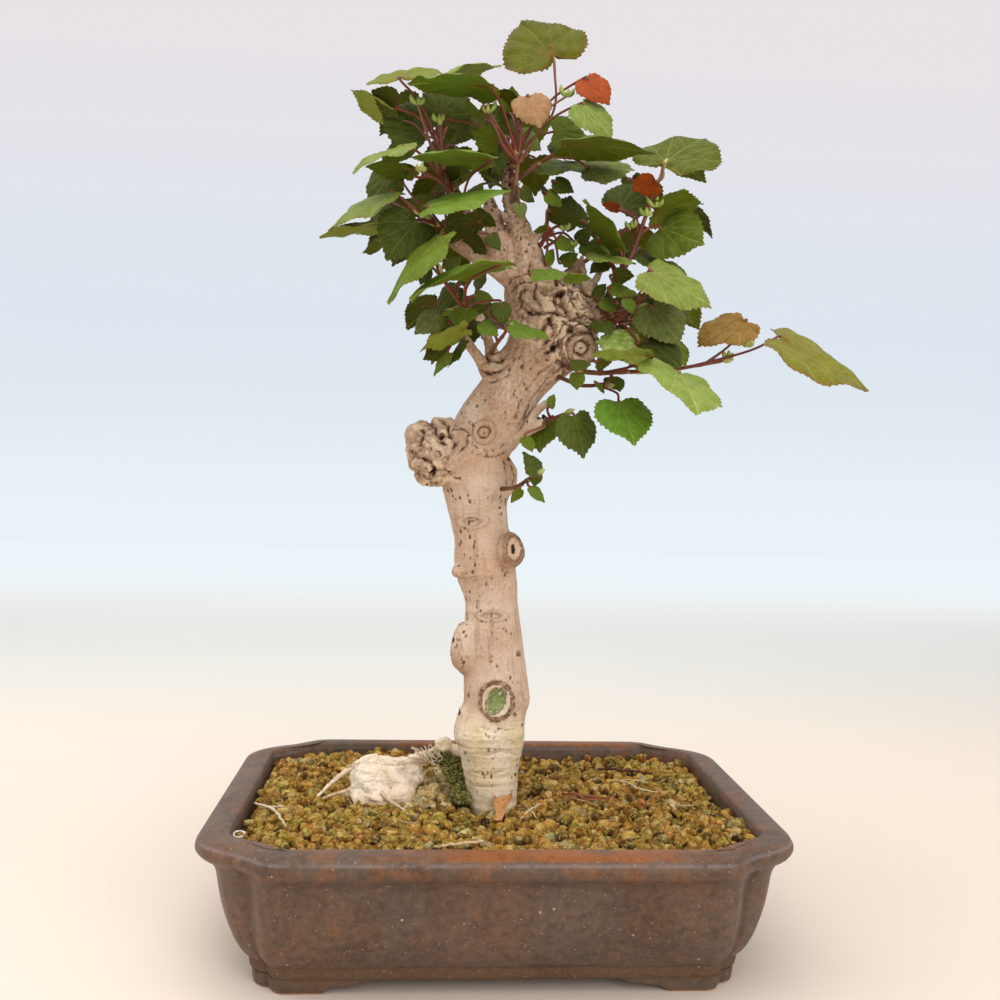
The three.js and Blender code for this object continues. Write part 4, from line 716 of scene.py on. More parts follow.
LIMBS = {
    "left_branch": [
        (524, 290, 11, -2), (499, 270, 10, -7), (480, 258, 8.5, -12), (462, 246, 8, -17), (453, 240, 7, -20),
    ],
    "pruned_knob": [
        (478, 450, 26, -2), (455, 451, 29, -6), (438, 453, 29, -9), (421, 456, 22, -11), (413, 460, 13, -12),
    ],
    "knob_crown": [(462, 462, 16, -2), (443, 432, 13, -12), (431, 428, 8, -13)],
    "upright_stub": [(500, 378, 7, -2), (495, 364, 6, -4), (488, 340, 5.4, -7), (479, 315, 4.6, -9)],
    "leaning_stub": [(492, 380, 7, -4), (480, 360, 5.4, -8), (464, 338, 5, -12)],
    "right_top": [(556, 306, 15, 0), (572, 306, 13, -2), (586, 314, 11, -4), (591, 300, 8, -4), (585, 283, 4.6, -5)],
    "right_hub": [(580, 316, 13, -2), (596, 321, 9.5, -5), (611, 324, 6.5, -8)],
    "back_top": [(562, 292, 9, 4), (570, 276, 6.5, 2), (581, 262, 6, 0)],
    "low_right": [(500, 450, 11, -10), (518, 437, 6.4, -16), (532, 429, 5.2, -18), (544, 422, 4.4, -20)],
    "low_right_stub": [(524, 430, 4.4, -17), (536, 412, 3.8, -17), (547, 402, 3.4, -18)],
    "surface_root": [
        (378, 757, 4.6, 26), (362, 761, 3.0, 26), (346, 771, 2.5, 20), (330, 784, 2.1, 7), (317, 797, 1.9, -7),
    ],
    "hidden_branch": [
        (512, 276, 8, -4), (492, 252, 7.5, -7), (474, 230, 6.5, -9), (461, 206, 5.2, -11), (453, 184, 4.4, -13),
        (448, 166, 3.2, -15),
    ],
    "hidden_spur": [(486, 246, 5, -8), (489, 230, 3.6, -4), (486, 214, 2.8, 0), (488, 204, 2.6, 2)],
    "dark_side_stem": [
        (508, 268, 11, 0), (502, 249, 11, 1), (496, 230, 9.5, 2), (492, 212, 7.5, 4), (488, 198, 4, 5),
    ],
    "dark_side_spur": [(494, 228, 6, 0), (482, 216, 4.5, -2), (475, 207, 3.4, -3)],
    "root_bridge": [(410, 762, 7, 14), (426, 756, 5.5, 14), (443, 750, 6, 12), (464, 752, 8, 6)],
    "twig_stub": [(590, 304, 5, -6), (588, 292, 2.8, -9), (584, 282, 2.6, -10)],
    "fork_stub": [(580, 288, 4.4, -2), (584, 274, 2.2, -6), (580, 262, 1.9, -8), (583, 257, 2.2, -9)],
    "bent_stub": [(590, 290, 3.6, -4), (598, 276, 2.4, -8), (602, 268, 2.4, -9)],
    "leader_stub": [(528, 246, 5, -4), (540, 234, 3.2, -7), (547, 224, 2.6, -8)],
    "leader_knob": [(514, 226, 5, -3), (505, 218, 3.4, -7), (500, 212, 2.6, -8)],
    "branch_knob": [(486, 262, 6, -12), (478, 270, 4, -17), (474, 277, 2.8, -18)],
}
# Swellings grown onto the wood: middle in the front view, depth, half sizes in millimetres, knobs
LUMPS = [
    ((443, 745, 10), (6.6, 8, 4.8), 0.2), ((556, 327, -1), (25, 23, 24), 0.1), ((580, 347, -9), (11, 11, 12), 0.05),
    ((426, 455, -12), (10, 13, 13), 0.16), ((420, 436, -11), (9, 10, 9), 0.2), ((447, 434, -12), (9, 9, 10), 0.15),
    ((436, 474, -10), (13, 10, 8), 0.15), ((497, 366, -5), (10, 9, 8), 0.2), ((505, 478, -4), (8, 10, 13), 0.1),
    ((465, 648, -6), (9.6, 12.5, 17.5), 0.04), ((510, 551, -15), (8.6, 9, 10.8), 0.05),
    ((458, 571, -6), (4.2, 6, 4), 0.1), ((545, 277, -1), (13, 12, 5), 0.12),
]
ROOT_LUMP = np.array([-70.0, 13.0, 81.5])
ROOT_PARTS = [
    ((-70, 14, 81.5), (23, 22, 18.5)), ((-57, 16, 87), (12, 14, 10)), ((-84, 4, 75), (12, 13, 10)),
    ((-74, -7, 74), (10, 9, 8)), ((-62, 0, 77), (12, 12, 9)),
]
BURIED_ROOT = [(-72, 12, 70), (-46, 0, 58), (-20, -12, 50), (0, -14, 46)]
FOOT_BOTTOM_Z = 34
VOXEL = 1.1
TRUNK_SIDES = 40
LIMB_SIDES = 20


def trunk_depth(py):
    return FOOT_DEPTH * clamp((py - 640) / 168)


def view_of(points):
    """Where points are in the front view: columns px and py."""
    off = points - EYE
    deep = off @ LOOK
    return HALF_VIEW + off @ RIGHT / deep * FOCAL, HALF_VIEW - off @ UP / deep * FOCAL


def wood_lump(build, centre, half, knobs, seed):
    """A knobbly ball."""
    start, faces = ball(5)
    points = []
    for p in start:
        far = 1 + knobs * 1.6 * noise.noise(Vector(p * 1.6) + Vector((seed, 0, 0)))
        far += knobs * 0.5 * noise.noise(Vector(p * 4.2) + Vector((0, seed, 0)))
        points.append(np.array(centre) + p * np.array(half) * far)
    build.add(points, faces)


def make_tree():
    build = Build()
    rows = smooth_line(TRUNK_RINGS, 3)
    points = []
    for i, (px, py, half) in enumerate(rows):
        after, before = rows[min(i + 1, len(rows) - 1)], rows[max(i - 1, 0)]
        lean = math.atan2(abs(after[0] - before[0]), abs(after[1] - before[1]))
        middle = seen(px, py, trunk_depth(py))
        wide = half * scale_at(middle)
        deep = wide * lerp(0.92, 0.8, lean)
        for s in range(TRUNK_SIDES):
            angle = s / TRUNK_SIDES * math.tau
            flute = 1 + 0.03 * math.sin(angle * 3 + i * 0.17) + 0.02 * math.cos(angle * 5 - i * 0.27)
            edge = 1 if abs(math.cos(angle)) > 0.94 else flute
            points.append(middle + [math.cos(angle) * wide * edge, math.sin(angle) * deep * flute, 0])
    last = (len(rows) - 1) * TRUNK_SIDES
    ends = [list(range(TRUNK_SIDES))[::-1], [last + i for i in range(TRUNK_SIDES)]]
    build.add(points, ring_faces(len(rows), TRUNK_SIDES) + ends)
    for limb in LIMBS.values():
        path = smooth_line([(*seen(px, py, depth), radius) for px, py, radius, depth in limb], 4)
        radii = [p[3] * scale_at(p[:3]) for p in path]
        tube(build, [p[:3] for p in path], radii, LIMB_SIDES)
    for seed, (place, half, knobs) in enumerate(LUMPS):
        wood_lump(build, seen(*place), half, knobs, seed + 3)
    for seed, (place, half) in enumerate(ROOT_PARTS):
        wood_lump(build, place, half, 0.1, seed)
    tube(build, smooth_line(BURIED_ROOT, 4), 12, 16)
    foot = seen(497, 840, FOOT_DEPTH)
    tube(build, [np.array([foot[0], foot[1], z]) for z in (FOOT_BOTTOM_Z, foot[2] + 4)], [9, 11.5], LIMB_SIDES)
    piece = build.raw("woody_body")
    alone(piece)
    remesh = piece.modifiers.new("skin", "REMESH")
    remesh.mode = "VOXEL"
    remesh.voxel_size = VOXEL * MM
    bpy.ops.object.modifier_apply(modifier=remesh.name)
    smooth = piece.modifiers.new("even", "SMOOTH")
    smooth.factor = 0.5
    smooth.iterations = 3
    bpy.ops.object.modifier_apply(modifier=smooth.name)
    carve_wood(piece)
    return dress(piece, pale_bark(), ["tree"], 180)


def read_normals(mesh):
    flat = np.zeros(len(mesh.vertices) * 3)
    mesh.vertices.foreach_get("normal", flat)
    return flat.reshape(-1, 3)


def waves(points, scale, seed, octaves=1, rough=0.5):
    """Noise from -1 to 1 at each point; scale in millimetres."""
    shift = Vector((seed * 7.3, seed * 3.1, seed * 5.7))
    out = np.empty(len(points))
    for i, p in enumerate((points / scale).tolist()):
        q = Vector(p) + shift
        out[i] = noise.fractal(q, rough, 2.0, octaves) if octaves > 1 else noise.noise(q)
    return out


def soft(v, low, high):
    t = np.clip((v - low) / (high - low), 0, 1)
    return t * t * (3 - 2 * t)


def bell(v, wide):
    return np.exp(-((v / wide) ** 2))


# Round marks of the bark in the front view: px, py, half width, half height, rim, hollow, kind
SCARS = [
    (496, 701, 15.5, 18.5, 1.5, 1.6, "green"), (484, 432, 9, 9, 1.3, 1.2, "knot"),
    (581, 348, 11, 12, 1.6, 2.4, "cut"), (472.5, 521.5, 12, 5.5, 1.3, 1.0, "eye"),
    (491.5, 616, 12, 4.6, 1.2, 0.9, "eye"), (514, 549, 9.5, 15, 1.8, 1.6, "slit"),
    (559, 296, 6, 4.5, 0.9, 3.6, "hole"), (570, 331, 5, 4.5, 0.9, 3.6, "hole"),
    (553, 348, 3.6, 5.0, 0.6, 3.0, "hole"), (546, 291, 9, 7, 0.8, 2.0, "moist"), (442, 437, 4, 3.4, 0.6, 2.6, "hole"),
    (432, 472, 4, 2.6, 0.6, 2.2, "hole"), (518, 654, 3.2, 3.6, 0.5, 1.0, "hole"),
    (453, 640, 2.4, 3.4, 0.3, 0.8, "hole"), (460, 713, 2.6, 3.2, 0.5, 0.8, "hole"),
]
# Low bumps: px, py, half width, half height, how far they stand out
BUMPS = [
    (529, 697, 4, 6, 1.8), (461, 710, 4, 6, 1.2), (488, 575, 34, 3.4, 1.3), (491, 611, 26, 3, 0.9),
    (470, 528, 24, 5, 0.8), (500, 530, 16, 4, 0.6), (489, 690, 34, 5, 0.7), (484, 738, 26, 4, 0.6),
    (474, 752, 12, 3, 0.5), (496, 766, 14, 3, 0.4), (488, 782, 20, 3, 0.5), (490, 448, 26, 4, 1.5),
    (452, 655, 5, 12, 1.0),
]
# Upright rows of small dark marks: px, first and last py, step
MARK_COLUMNS = [
    (492, 578, 674, 6), (494, 726, 800, 6), (482, 585, 660, 9), (504, 575, 640, 9), (516, 715, 790, 10),
    (478, 556, 604, 8), (476, 740, 795, 13), (500, 494, 545, 7), (487, 482, 514, 8), (507, 400, 440, 6),
    (520, 372, 420, 7),
]
# Cracks and folds in the front view: half width in view steps, depth in millimetres, then the line
CRACKS = [
    (1.5, 1.8, (509, 283), (517, 277), (525, 274), (536, 276), (545, 272), (553, 276)),
    (1.3, 1.4, (511, 292), (520, 284), (531, 283), (540, 278)), (0.6, 0.4, (493, 620), (495, 650), (494, 682)),
    (0.6, 0.4, (503, 560), (504, 600), (506, 640), (508, 684)), (0.6, 0.4, (512, 566), (514, 620), (518, 684)),
    (0.6, 0.4, (485, 556), (487, 590), (488, 612)), (0.6, 0.4, (494, 722), (495, 760), (494, 800)),
    (1.4, 1.6, (528, 274), (530, 262), (526, 250)),
    (1.8, 2.4, (524, 290), (521, 300), (524, 310), (534, 314), (548, 314), (562, 316), (577, 322)),
    (1.8, 2.6, (577, 322), (589, 331), (596, 345), (592, 360), (582, 367)),
    (2.2, 3.2, (548, 320), (554, 328), (558, 337), (556, 346), (549, 351), (543, 356)),
    (1.8, 2.6, (560, 322), (568, 325), (575, 331), (571, 338), (563, 344)),
    (1.5, 2.2, (535, 347), (541, 356), (549, 362), (558, 362), (569, 369), (583, 372)),
    (1.5, 2.0, (541, 334), (546, 341), (542, 350)),
    (1.6, 2.4, (558, 285), (566, 291), (569, 301), (577, 309), (588, 314)),
    (1.5, 2.2, (549, 301), (558, 305), (566, 311), (580, 318)), (1.4, 1.8, (536, 286), (533, 297), (540, 305)),
    (1.3, 1.6, (572, 283), (577, 294), (585, 302), (594, 306)), (1.3, 1.5, (563, 350), (566, 362), (575, 366)),
    (1.2, 1.3, (552, 364), (541, 373), (530, 386), (521, 401), (514, 419)),
    (1.2, 1.3, (560, 368), (548, 379), (537, 393), (529, 406), (520, 428)),
    (1.0, 0.8, (536, 362), (522, 380), (511, 398), (503, 418)),
    (1.4, 1.8, (483, 371), (490, 374), (499, 372), (507, 366)),
    (1.3, 1.6, (483, 352), (489, 360), (498, 363), (506, 356)), (1.2, 1.3, (489, 381), (498, 380), (508, 374)),
    (2.0, 3.0, (441, 420), (448, 426), (449, 435), (455, 442), (454, 452), (446, 460)),
    (1.6, 2.4, (430, 425), (436, 432), (438, 440), (446, 445)),
    (1.5, 2.2, (424, 440), (432, 445), (438, 452), (445, 457)),
    (1.6, 2.4, (414, 457), (424, 459), (433, 465), (434, 476)),
    (1.4, 1.8, (412, 470), (421, 474), (431, 482), (444, 486)),
    (1.4, 2.0, (419, 428), (424, 436), (419, 446), (412, 452)), (1.3, 1.6, (445, 470), (452, 476), (461, 480)),
    (1.2, 1.4, (452, 430), (462, 428), (468, 436), (466, 446), (458, 453)),
    (1.2, 1.2, (471, 441), (477, 448), (487, 451), (499, 449), (507, 443)),
    (1.1, 1.0, (472, 452), (483, 457), (497, 456), (507, 451)),
    (1.2, 1.3, (503, 452), (510, 461), (514, 474), (513, 490)), (1.1, 1.0, (505, 462), (507, 476), (504, 492)),
    (1.0, 0.8, (459, 571), (470, 573), (486, 571), (504, 573), (517, 570)),
    (1.0, 0.7, (459, 634), (462, 648), (461, 664), (466, 678)), (1.0, 0.7, (480, 727), (492, 731), (508, 729)),
    (1.0, 0.6, (463, 735), (476, 739), (492, 737), (512, 741)),
    (1.0, 0.6, (465, 752), (484, 755), (503, 752), (519, 756)), (1.0, 0.6, (470, 771), (488, 774), (508, 770)),
]
STUB_ENDS = [(479, 315, -9), (464, 338, -12), (544, 422, -20), (547, 402, -18), (585, 283, -5), (581, 262, 0)]


def from_line(px, py, line):
    """How far points of the front view lie from a line, in view steps."""
    nearest = np.full(len(px), 1e9)
    spots = np.array(smooth_line([np.array(q, float) for q in line], 3))
    for a, b in zip(spots[:-1], spots[1:]):
        along = b - a
        t = np.clip(((px - a[0]) * along[0] + (py - a[1]) * along[1]) / (along @ along), 0, 1)
        nearest = np.minimum(nearest, np.hypot(px - a[0] - along[0] * t, py - a[1] - along[1] * t))
    return nearest


def carve_wood(piece):
    """Folds, scars and bumps of the bark, and the attributes that colour them."""
    mesh = piece.data
    points = (read_points(mesh) - MIDDLE) / MM
    normals = read_normals(mesh)
    px, py = view_of(points)
    sight = (points - EYE) / np.linalg.norm(points - EYE, axis=1)[:, None]
    front = soft(-(normals * sight).sum(1), 0.0, 0.3)
    z = points[:, 2]

    def ball(centre, half):
        return np.exp(-(((points - centre) / half) ** 2).sum(1) ** 2)

    burl = ball(seen(562, 322, -2), [32, 36, 37])
    knob = ball(seen(430, 454, -10), [22, 26, 26])
    stub_foot = ball(seen(496, 366, -5), [12, 12, 11])
    root = ball(ROOT_LUMP, [38, 38, 32])
    gnarl = np.clip(burl + knob + stub_foot * 0.8, 0, 1)
    upper = soft(z, 425, 455)
    warped = points + 5 * np.stack([waves(points, 17, seed) for seed in (1, 2, 3)], 1)
    # winding folds with cracks between them, darkened as painted shade
    bend, curl = np.zeros(len(points)), np.zeros(len(points))
    rough = (gnarl + root + upper) > 0.02
    bend[rough] = waves(warped[rough], (11, 11, 8), 4)
    curl[rough] = waves(warped[rough], (5.5, 5.5, 4.5), 5, 2)
    fold, small_fold = bell(bend, 0.07), bell(curl, 0.09)
    whorl = np.hypot((px - 581) / 11, (py - 348) / 12)
    gnarl_depth = burl * (0.35 + 0.65 * soft(whorl, 1.8, 3.2)) + knob * 0.45 + stub_foot * 0.6
    gnarl_depth *= 0.8 + 0.2 * wobble_at(points)
    lift = waves(points, (16, 16, 22), 6) * 0.7 + waves(points, 6, 7, 2) * (0.2 + gnarl * 0.4)
    lift += gnarl_depth * (1.2 + np.abs(bend) * 3.0 + np.abs(curl) * 2.2 - fold * 3.0 - small_fold * 1.5)
    swirl = burl * soft(whorl, 3.6, 2.2) * soft(whorl, 0.9, 1.3)
    turns = np.sin(whorl * 9.5 + waves(points, 9, 17) * 2.2)
    lift += front * swirl * turns * 0.9
    lift += root * (np.abs(bend) * 1.0 - fold * 0.4 + np.abs(curl) * 0.3 + waves(points, 3.4, 12, 2) * 0.4)
    lift += upper * (1 - gnarl) * (np.abs(curl) * 1.5 + waves(points, 2.6, 9, 2) * 0.35)
    # dark of folds, cracks and holes: painted shade, together with real dark marks such as the lenticel rows
    crease_shade_and_marks = np.clip(gnarl_depth * (fold * 1.0 + small_fold * 0.55), 0, 1)
    crease_shade_and_marks = np.maximum(crease_shade_and_marks, front * swirl * soft(-turns, 0.55, 0.98) * 0.95)
    # browner along the small folds of the upper trunk and the root's folds; brown rings round the scars are added below
    stain = upper * small_fold * 0.6 + root * (small_fold * 0.15 + fold * 0.3)
    ridge = np.clip(np.abs(bend) * 1.6 + np.abs(curl) * 0.7, 0, 1)
    level = waves(points, (60, 60, 2.6), 10)
    lift += (level + waves(points, (24, 24, 1.8), 11) * 0.6) * (soft(z, 165, 135) * 0.3 + 0.05) * (1 - root)
    green, cut = np.zeros(len(points)), np.zeros(len(points))
    for place in STUB_ENDS:
        cut = np.maximum(cut, soft(np.linalg.norm(points - seen(*place), axis=1), 7, 4) * 0.9)
    wobble = waves(points, 5, 13) * 0.16
    for cx, cy, wide, high, rim, hollow, kind in SCARS:
        turn = np.hypot((px - cx) / wide, (py - cy) / high)
        near = turn < 3
        turn = turn * (1 + wobble * (0.4 if kind == "green" else 1))
        here = front * near
        lift += here * rim * bell(turn - 1, 0.28)
        inner = soft(turn, 0.72, 0.5) * here
        if kind == "green":
            lift += here * (bell(turn - 0.78, 0.09) * 0.7 - hollow * soft(turn, 0.66, 0.56) * 0.5)
            lean = (py - cy) * 0.22
            leaf_green = np.hypot((px - cx + lean) / (wide * 0.62), (py - cy) / (high * 0.72)) + wobble * 0.3
            green = np.maximum(green, soft(leaf_green, 1.02, 0.94) * here)
            cut = np.maximum(cut, soft(turn, 0.88, 0.82) * here * (1 - green))
            stain = np.maximum(stain, here * soft(np.abs(turn - 1.0), 0.22, 0.1) * (0.6 + 0.4 * wobble_at(points)))
            crease_shade_and_marks = np.maximum(crease_shade_and_marks, here * bell(leaf_green - 1.02, 0.05) * 0.8)
            rough = np.clip(0.42 + 0.4 * waves(points, 2.6, 16) + 0.25 * waves(points, 1.4, 21), 0, 1)
            crease_shade_and_marks = np.maximum(crease_shade_and_marks, here * soft(np.abs(turn - 1.03), 0.18, 0.08) * rough)
            crease_shade_and_marks = np.maximum(crease_shade_and_marks, here * bell(turn - 0.92, 0.04) * (0.45 + rough * 0.6))
        elif kind in ("knot", "cut"):
            lift -= here * hollow * bell(turn - 0.62, 0.16)
            crease_shade_and_marks = np.maximum(crease_shade_and_marks, here * bell(turn - 0.62, 0.12) * 0.8)
            crease_shade_and_marks = np.maximum(crease_shade_and_marks, here * bell(turn - 1.35, 0.1) * (0.75 if kind == "cut" else 0.35))
            lift -= here * bell(turn - 1.35, 0.12) * 1.4
            lift += here * bell(turn - 1.65, 0.16) * (1.4 if kind == "cut" else 0.5)
            if kind == "cut":
                crease_shade_and_marks = np.maximum(crease_shade_and_marks, here * bell(turn - 1.95, 0.1) * 0.6)
                cut = np.maximum(cut, soft(turn, 0.56, 0.4) * here)
                crease_shade_and_marks *= 1 - soft(turn, 0.5, 0.35) * here
                crease_shade_and_marks = np.maximum(crease_shade_and_marks, here * soft(turn, 0.16, 0.06))
            else:
                crease_shade_and_marks = np.maximum(crease_shade_and_marks, here * soft(turn, 0.14, 0.05))
        elif kind == "eye":
            lift -= here * hollow * inner
            stain = np.maximum(stain, here * bell(turn - 0.72, 0.12) * 0.8)
            crease_shade_and_marks = np.maximum(crease_shade_and_marks, here * soft(turn, 0.26, 0.14) * 0.8)
            stain = np.maximum(stain, here * bell(turn - 1.35, 0.14) * 0.5)
        elif kind == "slit":
            lift -= here * hollow * inner
            stain = np.maximum(stain, here * soft(np.abs(turn - 0.95), 0.3, 0.1))
            crease_shade_and_marks = np.maximum(crease_shade_and_marks, here * bell(turn - 0.74, 0.08) * 0.6)
            gap = np.hypot((px - cx) / 2.8, (py - cy) / 6.8)
            crease_shade_and_marks = np.maximum(crease_shade_and_marks, here * soft(gap, 1.1, 0.7))
            lift -= here * soft(gap, 1.1, 0.5) * 1.6
        elif kind == "moist":
            lift -= here * hollow * soft(turn, 1.0, 0.5)
            green = np.maximum(green, soft(turn, 0.95, 0.4) * here * 0.35)
        else:
            lift -= here * hollow * soft(turn, 1.0, 0.4)
            crease_shade_and_marks = np.maximum(crease_shade_and_marks, soft(turn, 0.95, 0.55) * here)
    shaken = px + waves(points, 7, 19) * 2.4
    for cx, top, low, step in MARK_COLUMNS:
        for k, cy in enumerate(np.arange(top, low, step)):
            size = 0.72 + 0.3 * math.sin(k * 2.3 + cx)
            far = np.hypot((shaken - cx - 1.2 * math.sin(k * 1.7)) / size, (py - cy - math.sin(k * 3.1)) / (size * 1.8))
            crease_shade_and_marks = np.maximum(crease_shade_and_marks, front * soft(far, 1.4, 0.6) * (0.5 + 0.2 * math.sin(k * 5.3 + cx)))
    for cx, cy, wide, high, out in BUMPS:
        lift += front * out * np.exp(-(np.hypot((px - cx) / wide, (py - cy) / high) ** 2))
    shaken_x, shaken_y = px + waves(points, 3.5, 14) * 2.2, py + waves(points, 3.5, 15) * 2.2
    for wide, deep, *line in CRACKS:
        low, high = np.min(line, axis=0) - 12, np.max(line, axis=0) + 12
        near = (px > low[0]) & (px < high[0]) & (py > low[1]) & (py < high[1]) & (front > 0.01)
        far = from_line(shaken_x[near], shaken_y[near], line)
        broken = 0.35 + 0.65 * soft(waves(points[near], 4, wide * 7 + deep), -0.25, 0.2)
        strength = front[near] * broken
        lift[near] -= strength * deep * bell(far, wide)
        lift[near] += strength * deep * 0.55 * bell(far - wide * 2.6, wide * 1.3)
        crease_shade_and_marks[near] = np.maximum(crease_shade_and_marks[near], strength * bell(far, wide * 0.72) * min(1, deep / 1.6))
    moved = points + normals * lift[:, None]
    mesh.vertices.foreach_set("co", (moved * MM + MIDDLE).ravel())
    marks = {"crease_shade_and_marks": crease_shade_and_marks, "gnarl": gnarl, "ridge": ridge, "green": green, "cut": cut, "root": root}
    for name, values in {**marks, "stain": np.clip(stain, 0, 1)}.items():
        layer = mesh.attributes.new(name=name, type="FLOAT", domain="POINT")
        layer.data.foreach_set("value", values)
    mesh.update()


def wobble_at(points):
    return waves(points, 9, 18)


# Leaves
HEART = [
    (0, 0), (-0.10, 0.22), (-0.13, 0.50), (-0.03, 0.82), (0.17, 1.0), (0.40, 0.97), (0.60, 0.78), (0.77, 0.50),
    (0.90, 0.22), (1, 0),
]
BLADE_RATIO = 1.2
CUP = 0.08
TEETH_PER_MM = 0.52
CROWN_X = 14
CROWN_Y = -6
BLADE_CENTRE = np.array([0.32, 0.0])

# Blade colour, vein colour, mottling. The dark tone is partly painted shade of leaves deep in the crown, and the light,
# bright and lit tones are partly painted light of leaves out in front, on top of the leaves' own greens.
TONES = {
    "olive": ("#565f06", "#95802a", 0.04), "peach": ("#a98060", "#c9a480", 0.05),
    "light": ("#839545", "#b6c07c", 0.06), "dark": ("#4b5722", "#8b9048", 0.02), "mid": ("#637824", "#a0ab54", 0.04),
    "orange": ("#b5562a", "#8a3520", 0.0), "grey": ("#69733a", "#a5aa70", 0.14),
    "bright": ("#6d8b32", "#aab964", 0.03), "variegated": ("#84a048", "#c9c884", 0.9),
    "tan": ("#96713a", "#c4a860", 0.1), "fresh": ("#6b932f", "#adbb64", 0.0), "yellow": ("#7f7f2c", "#b3ad60", 0.04),
    "lit": ("#747f20", "#a5a648", 0.04), "straw": ("#586314", "#a0a050", 0.04),
}
RED_EDGED = ("topmost", "edge_red", "wide_olive", "orange_b", "far_right")


class Blade:
    """Where one blade lies: its base, directions and sizes in millimetres."""

    def __init__(self, name, place, along, face, length, half, fold, bend, tone):
        self.name, self.place, self.along = name, place, along
        self.face, self.side = face, np.cross(face, along)
        self.length, self.half, self.fold, self.bend, self.tone = length, half, math.radians(fold), bend, tone

    def at(self, x, y, lift=0.0):
        rise = (
            np.abs(y) * self.half * math.sin(self.fold)
            + self.bend * self.length * x * (1 - x)
            - CUP * self.half * (y * y - 0.4)
            + lift
        )
        x, y, rise = np.atleast_1d(x), np.atleast_1d(y), np.atleast_1d(rise)
        wide = y * self.half * math.cos(self.fold)
        across = np.outer(wide, self.side) + np.outer(rise, self.face)
        return self.place + np.outer(x * self.length, self.along) + across


def leaf(name, px, py, tip_px, tip_py, across_x, across_y, depth, turn, tone, fold=0, bend=0.12):
    """A blade by its base, tip and widest line in the front view and the depth of its base."""
    place = seen(px, py, depth)
    a = np.array([tip_px - px, py - tip_py], float)
    s = np.array([across_x / 2, -across_y / 2])
    dot = -float(a @ s)
    q = BLADE_RATIO**2
    p = q * float(a @ a) / 4 - float(s @ s)
    square = (-p + math.sqrt(p * p + q * dot * dot)) / (q / 2)
    tip_off = turn * math.sqrt(max(square, 0))
    side_off = dot / tip_off if abs(tip_off) > 1e-3 else turn * math.sqrt(max(p, 0))
    step = scale_at(place)
    sight = unit(place - EYE)
    right = unit(RIGHT - sight * (RIGHT @ sight))
    up = unit(np.cross(right, sight))
    along = right * a[0] + up * a[1] + sight * tip_off
    side = right * s[0] + up * s[1] + sight * side_off
    length, half = np.linalg.norm(along) * step, np.linalg.norm(side) * step
    along, side = unit(along), unit(side)
    face = np.cross(along, side)
    if face[2] - 0.25 * (face @ sight) < 0:
        face = -face
    return Blade(name, place, along, face, length, half, fold, bend, tone)


def spread(name, px, py, depth, length, droop, roll, tone):
    """A blade that spreads outwards from the crown's middle line and droops."""
    place = seen(px, py, depth)
    out = unit(np.array([place[0] - CROWN_X, place[1] - CROWN_Y, 0.0]))
    level = np.cross(out, [0, 0, 1.0])
    droop, roll = math.radians(droop), math.radians(roll)
    along = out * math.cos(droop)
    along[2] = -math.sin(droop)
    face = unit(np.cross(level, along))
    if face[2] < 0:
        face = -face
    face = face * math.cos(roll) + np.cross(along, face) * math.sin(roll)
    return Blade(name, place, along, face, length, length * 0.48, 12, 0.15, tone)


def shoot(name, path, rows, thick=1.7):
    """What make_spray needs for one spray that the front view shows."""
    return name, path, [leaf(*row) for row in rows], thick


def back_shoot(name, path, rows, thick=1.7):
    return name, path, [spread(*row) for row in rows], thick


# Stalks whose line the front view shows
STALKS = {"topmost": [(521, 162, -8), (537, 134, -8), (551, 117, -8), (556, 98, -9), (555, 76, -10)]}


def stalk_path(line, blade):
    """A stalk leaves its shoot below the blade and bends over to the blade's base."""
    if blade.name in STALKS:
        return [*[seen(*p) for p in STALKS[blade.name]], blade.place]
    spots = np.linspace(0, 1, 41)
    at = lambda t: lerp_along(line, t)
    far = [np.linalg.norm(at(t) - blade.place) for t in spots]
    nearest, least = spots[int(np.argmin(far))], min(far)
    whole = np.linalg.norm(line[0] - line[-1])
    t = clamp(nearest - 0.5 * least / whole, 0.3, 0.97)
    start = at(t)
    ahead = unit(at(t + 0.05) - at(t - 0.05))
    base = blade.at(0, 0)[0]
    reach = np.linalg.norm(start - base)
    path = [start, base]
    if reach > 12:
        path.insert(1, lerp(start, base, 0.45) + ahead * reach * 0.18)
    above = math.copysign(1, (path[-2] - base) @ blade.face)
    path.insert(-1, base - blade.along * 2.6 + blade.face * above * 1.3)
    return path


def lerp_along(line, t):
    place = clamp(t) * (len(line) - 1)
    k = min(int(place), len(line) - 2)
    return lerp(line[k], line[k + 1], place - k)


def heart_outline(count):
    """Half of the blade's outline, evenly spaced: along and away from the midrib."""
    fine = np.array(smooth_line(HEART, 12))
    true = fine * [1, 0.5]
    run = np.concatenate([[0], np.cumsum(np.linalg.norm(np.diff(true, axis=0), axis=1))])
    where = np.linspace(0, run[-1], count)
    return np.stack([np.interp(where, run, fine[:, k]) for k in (0, 1)], 1)


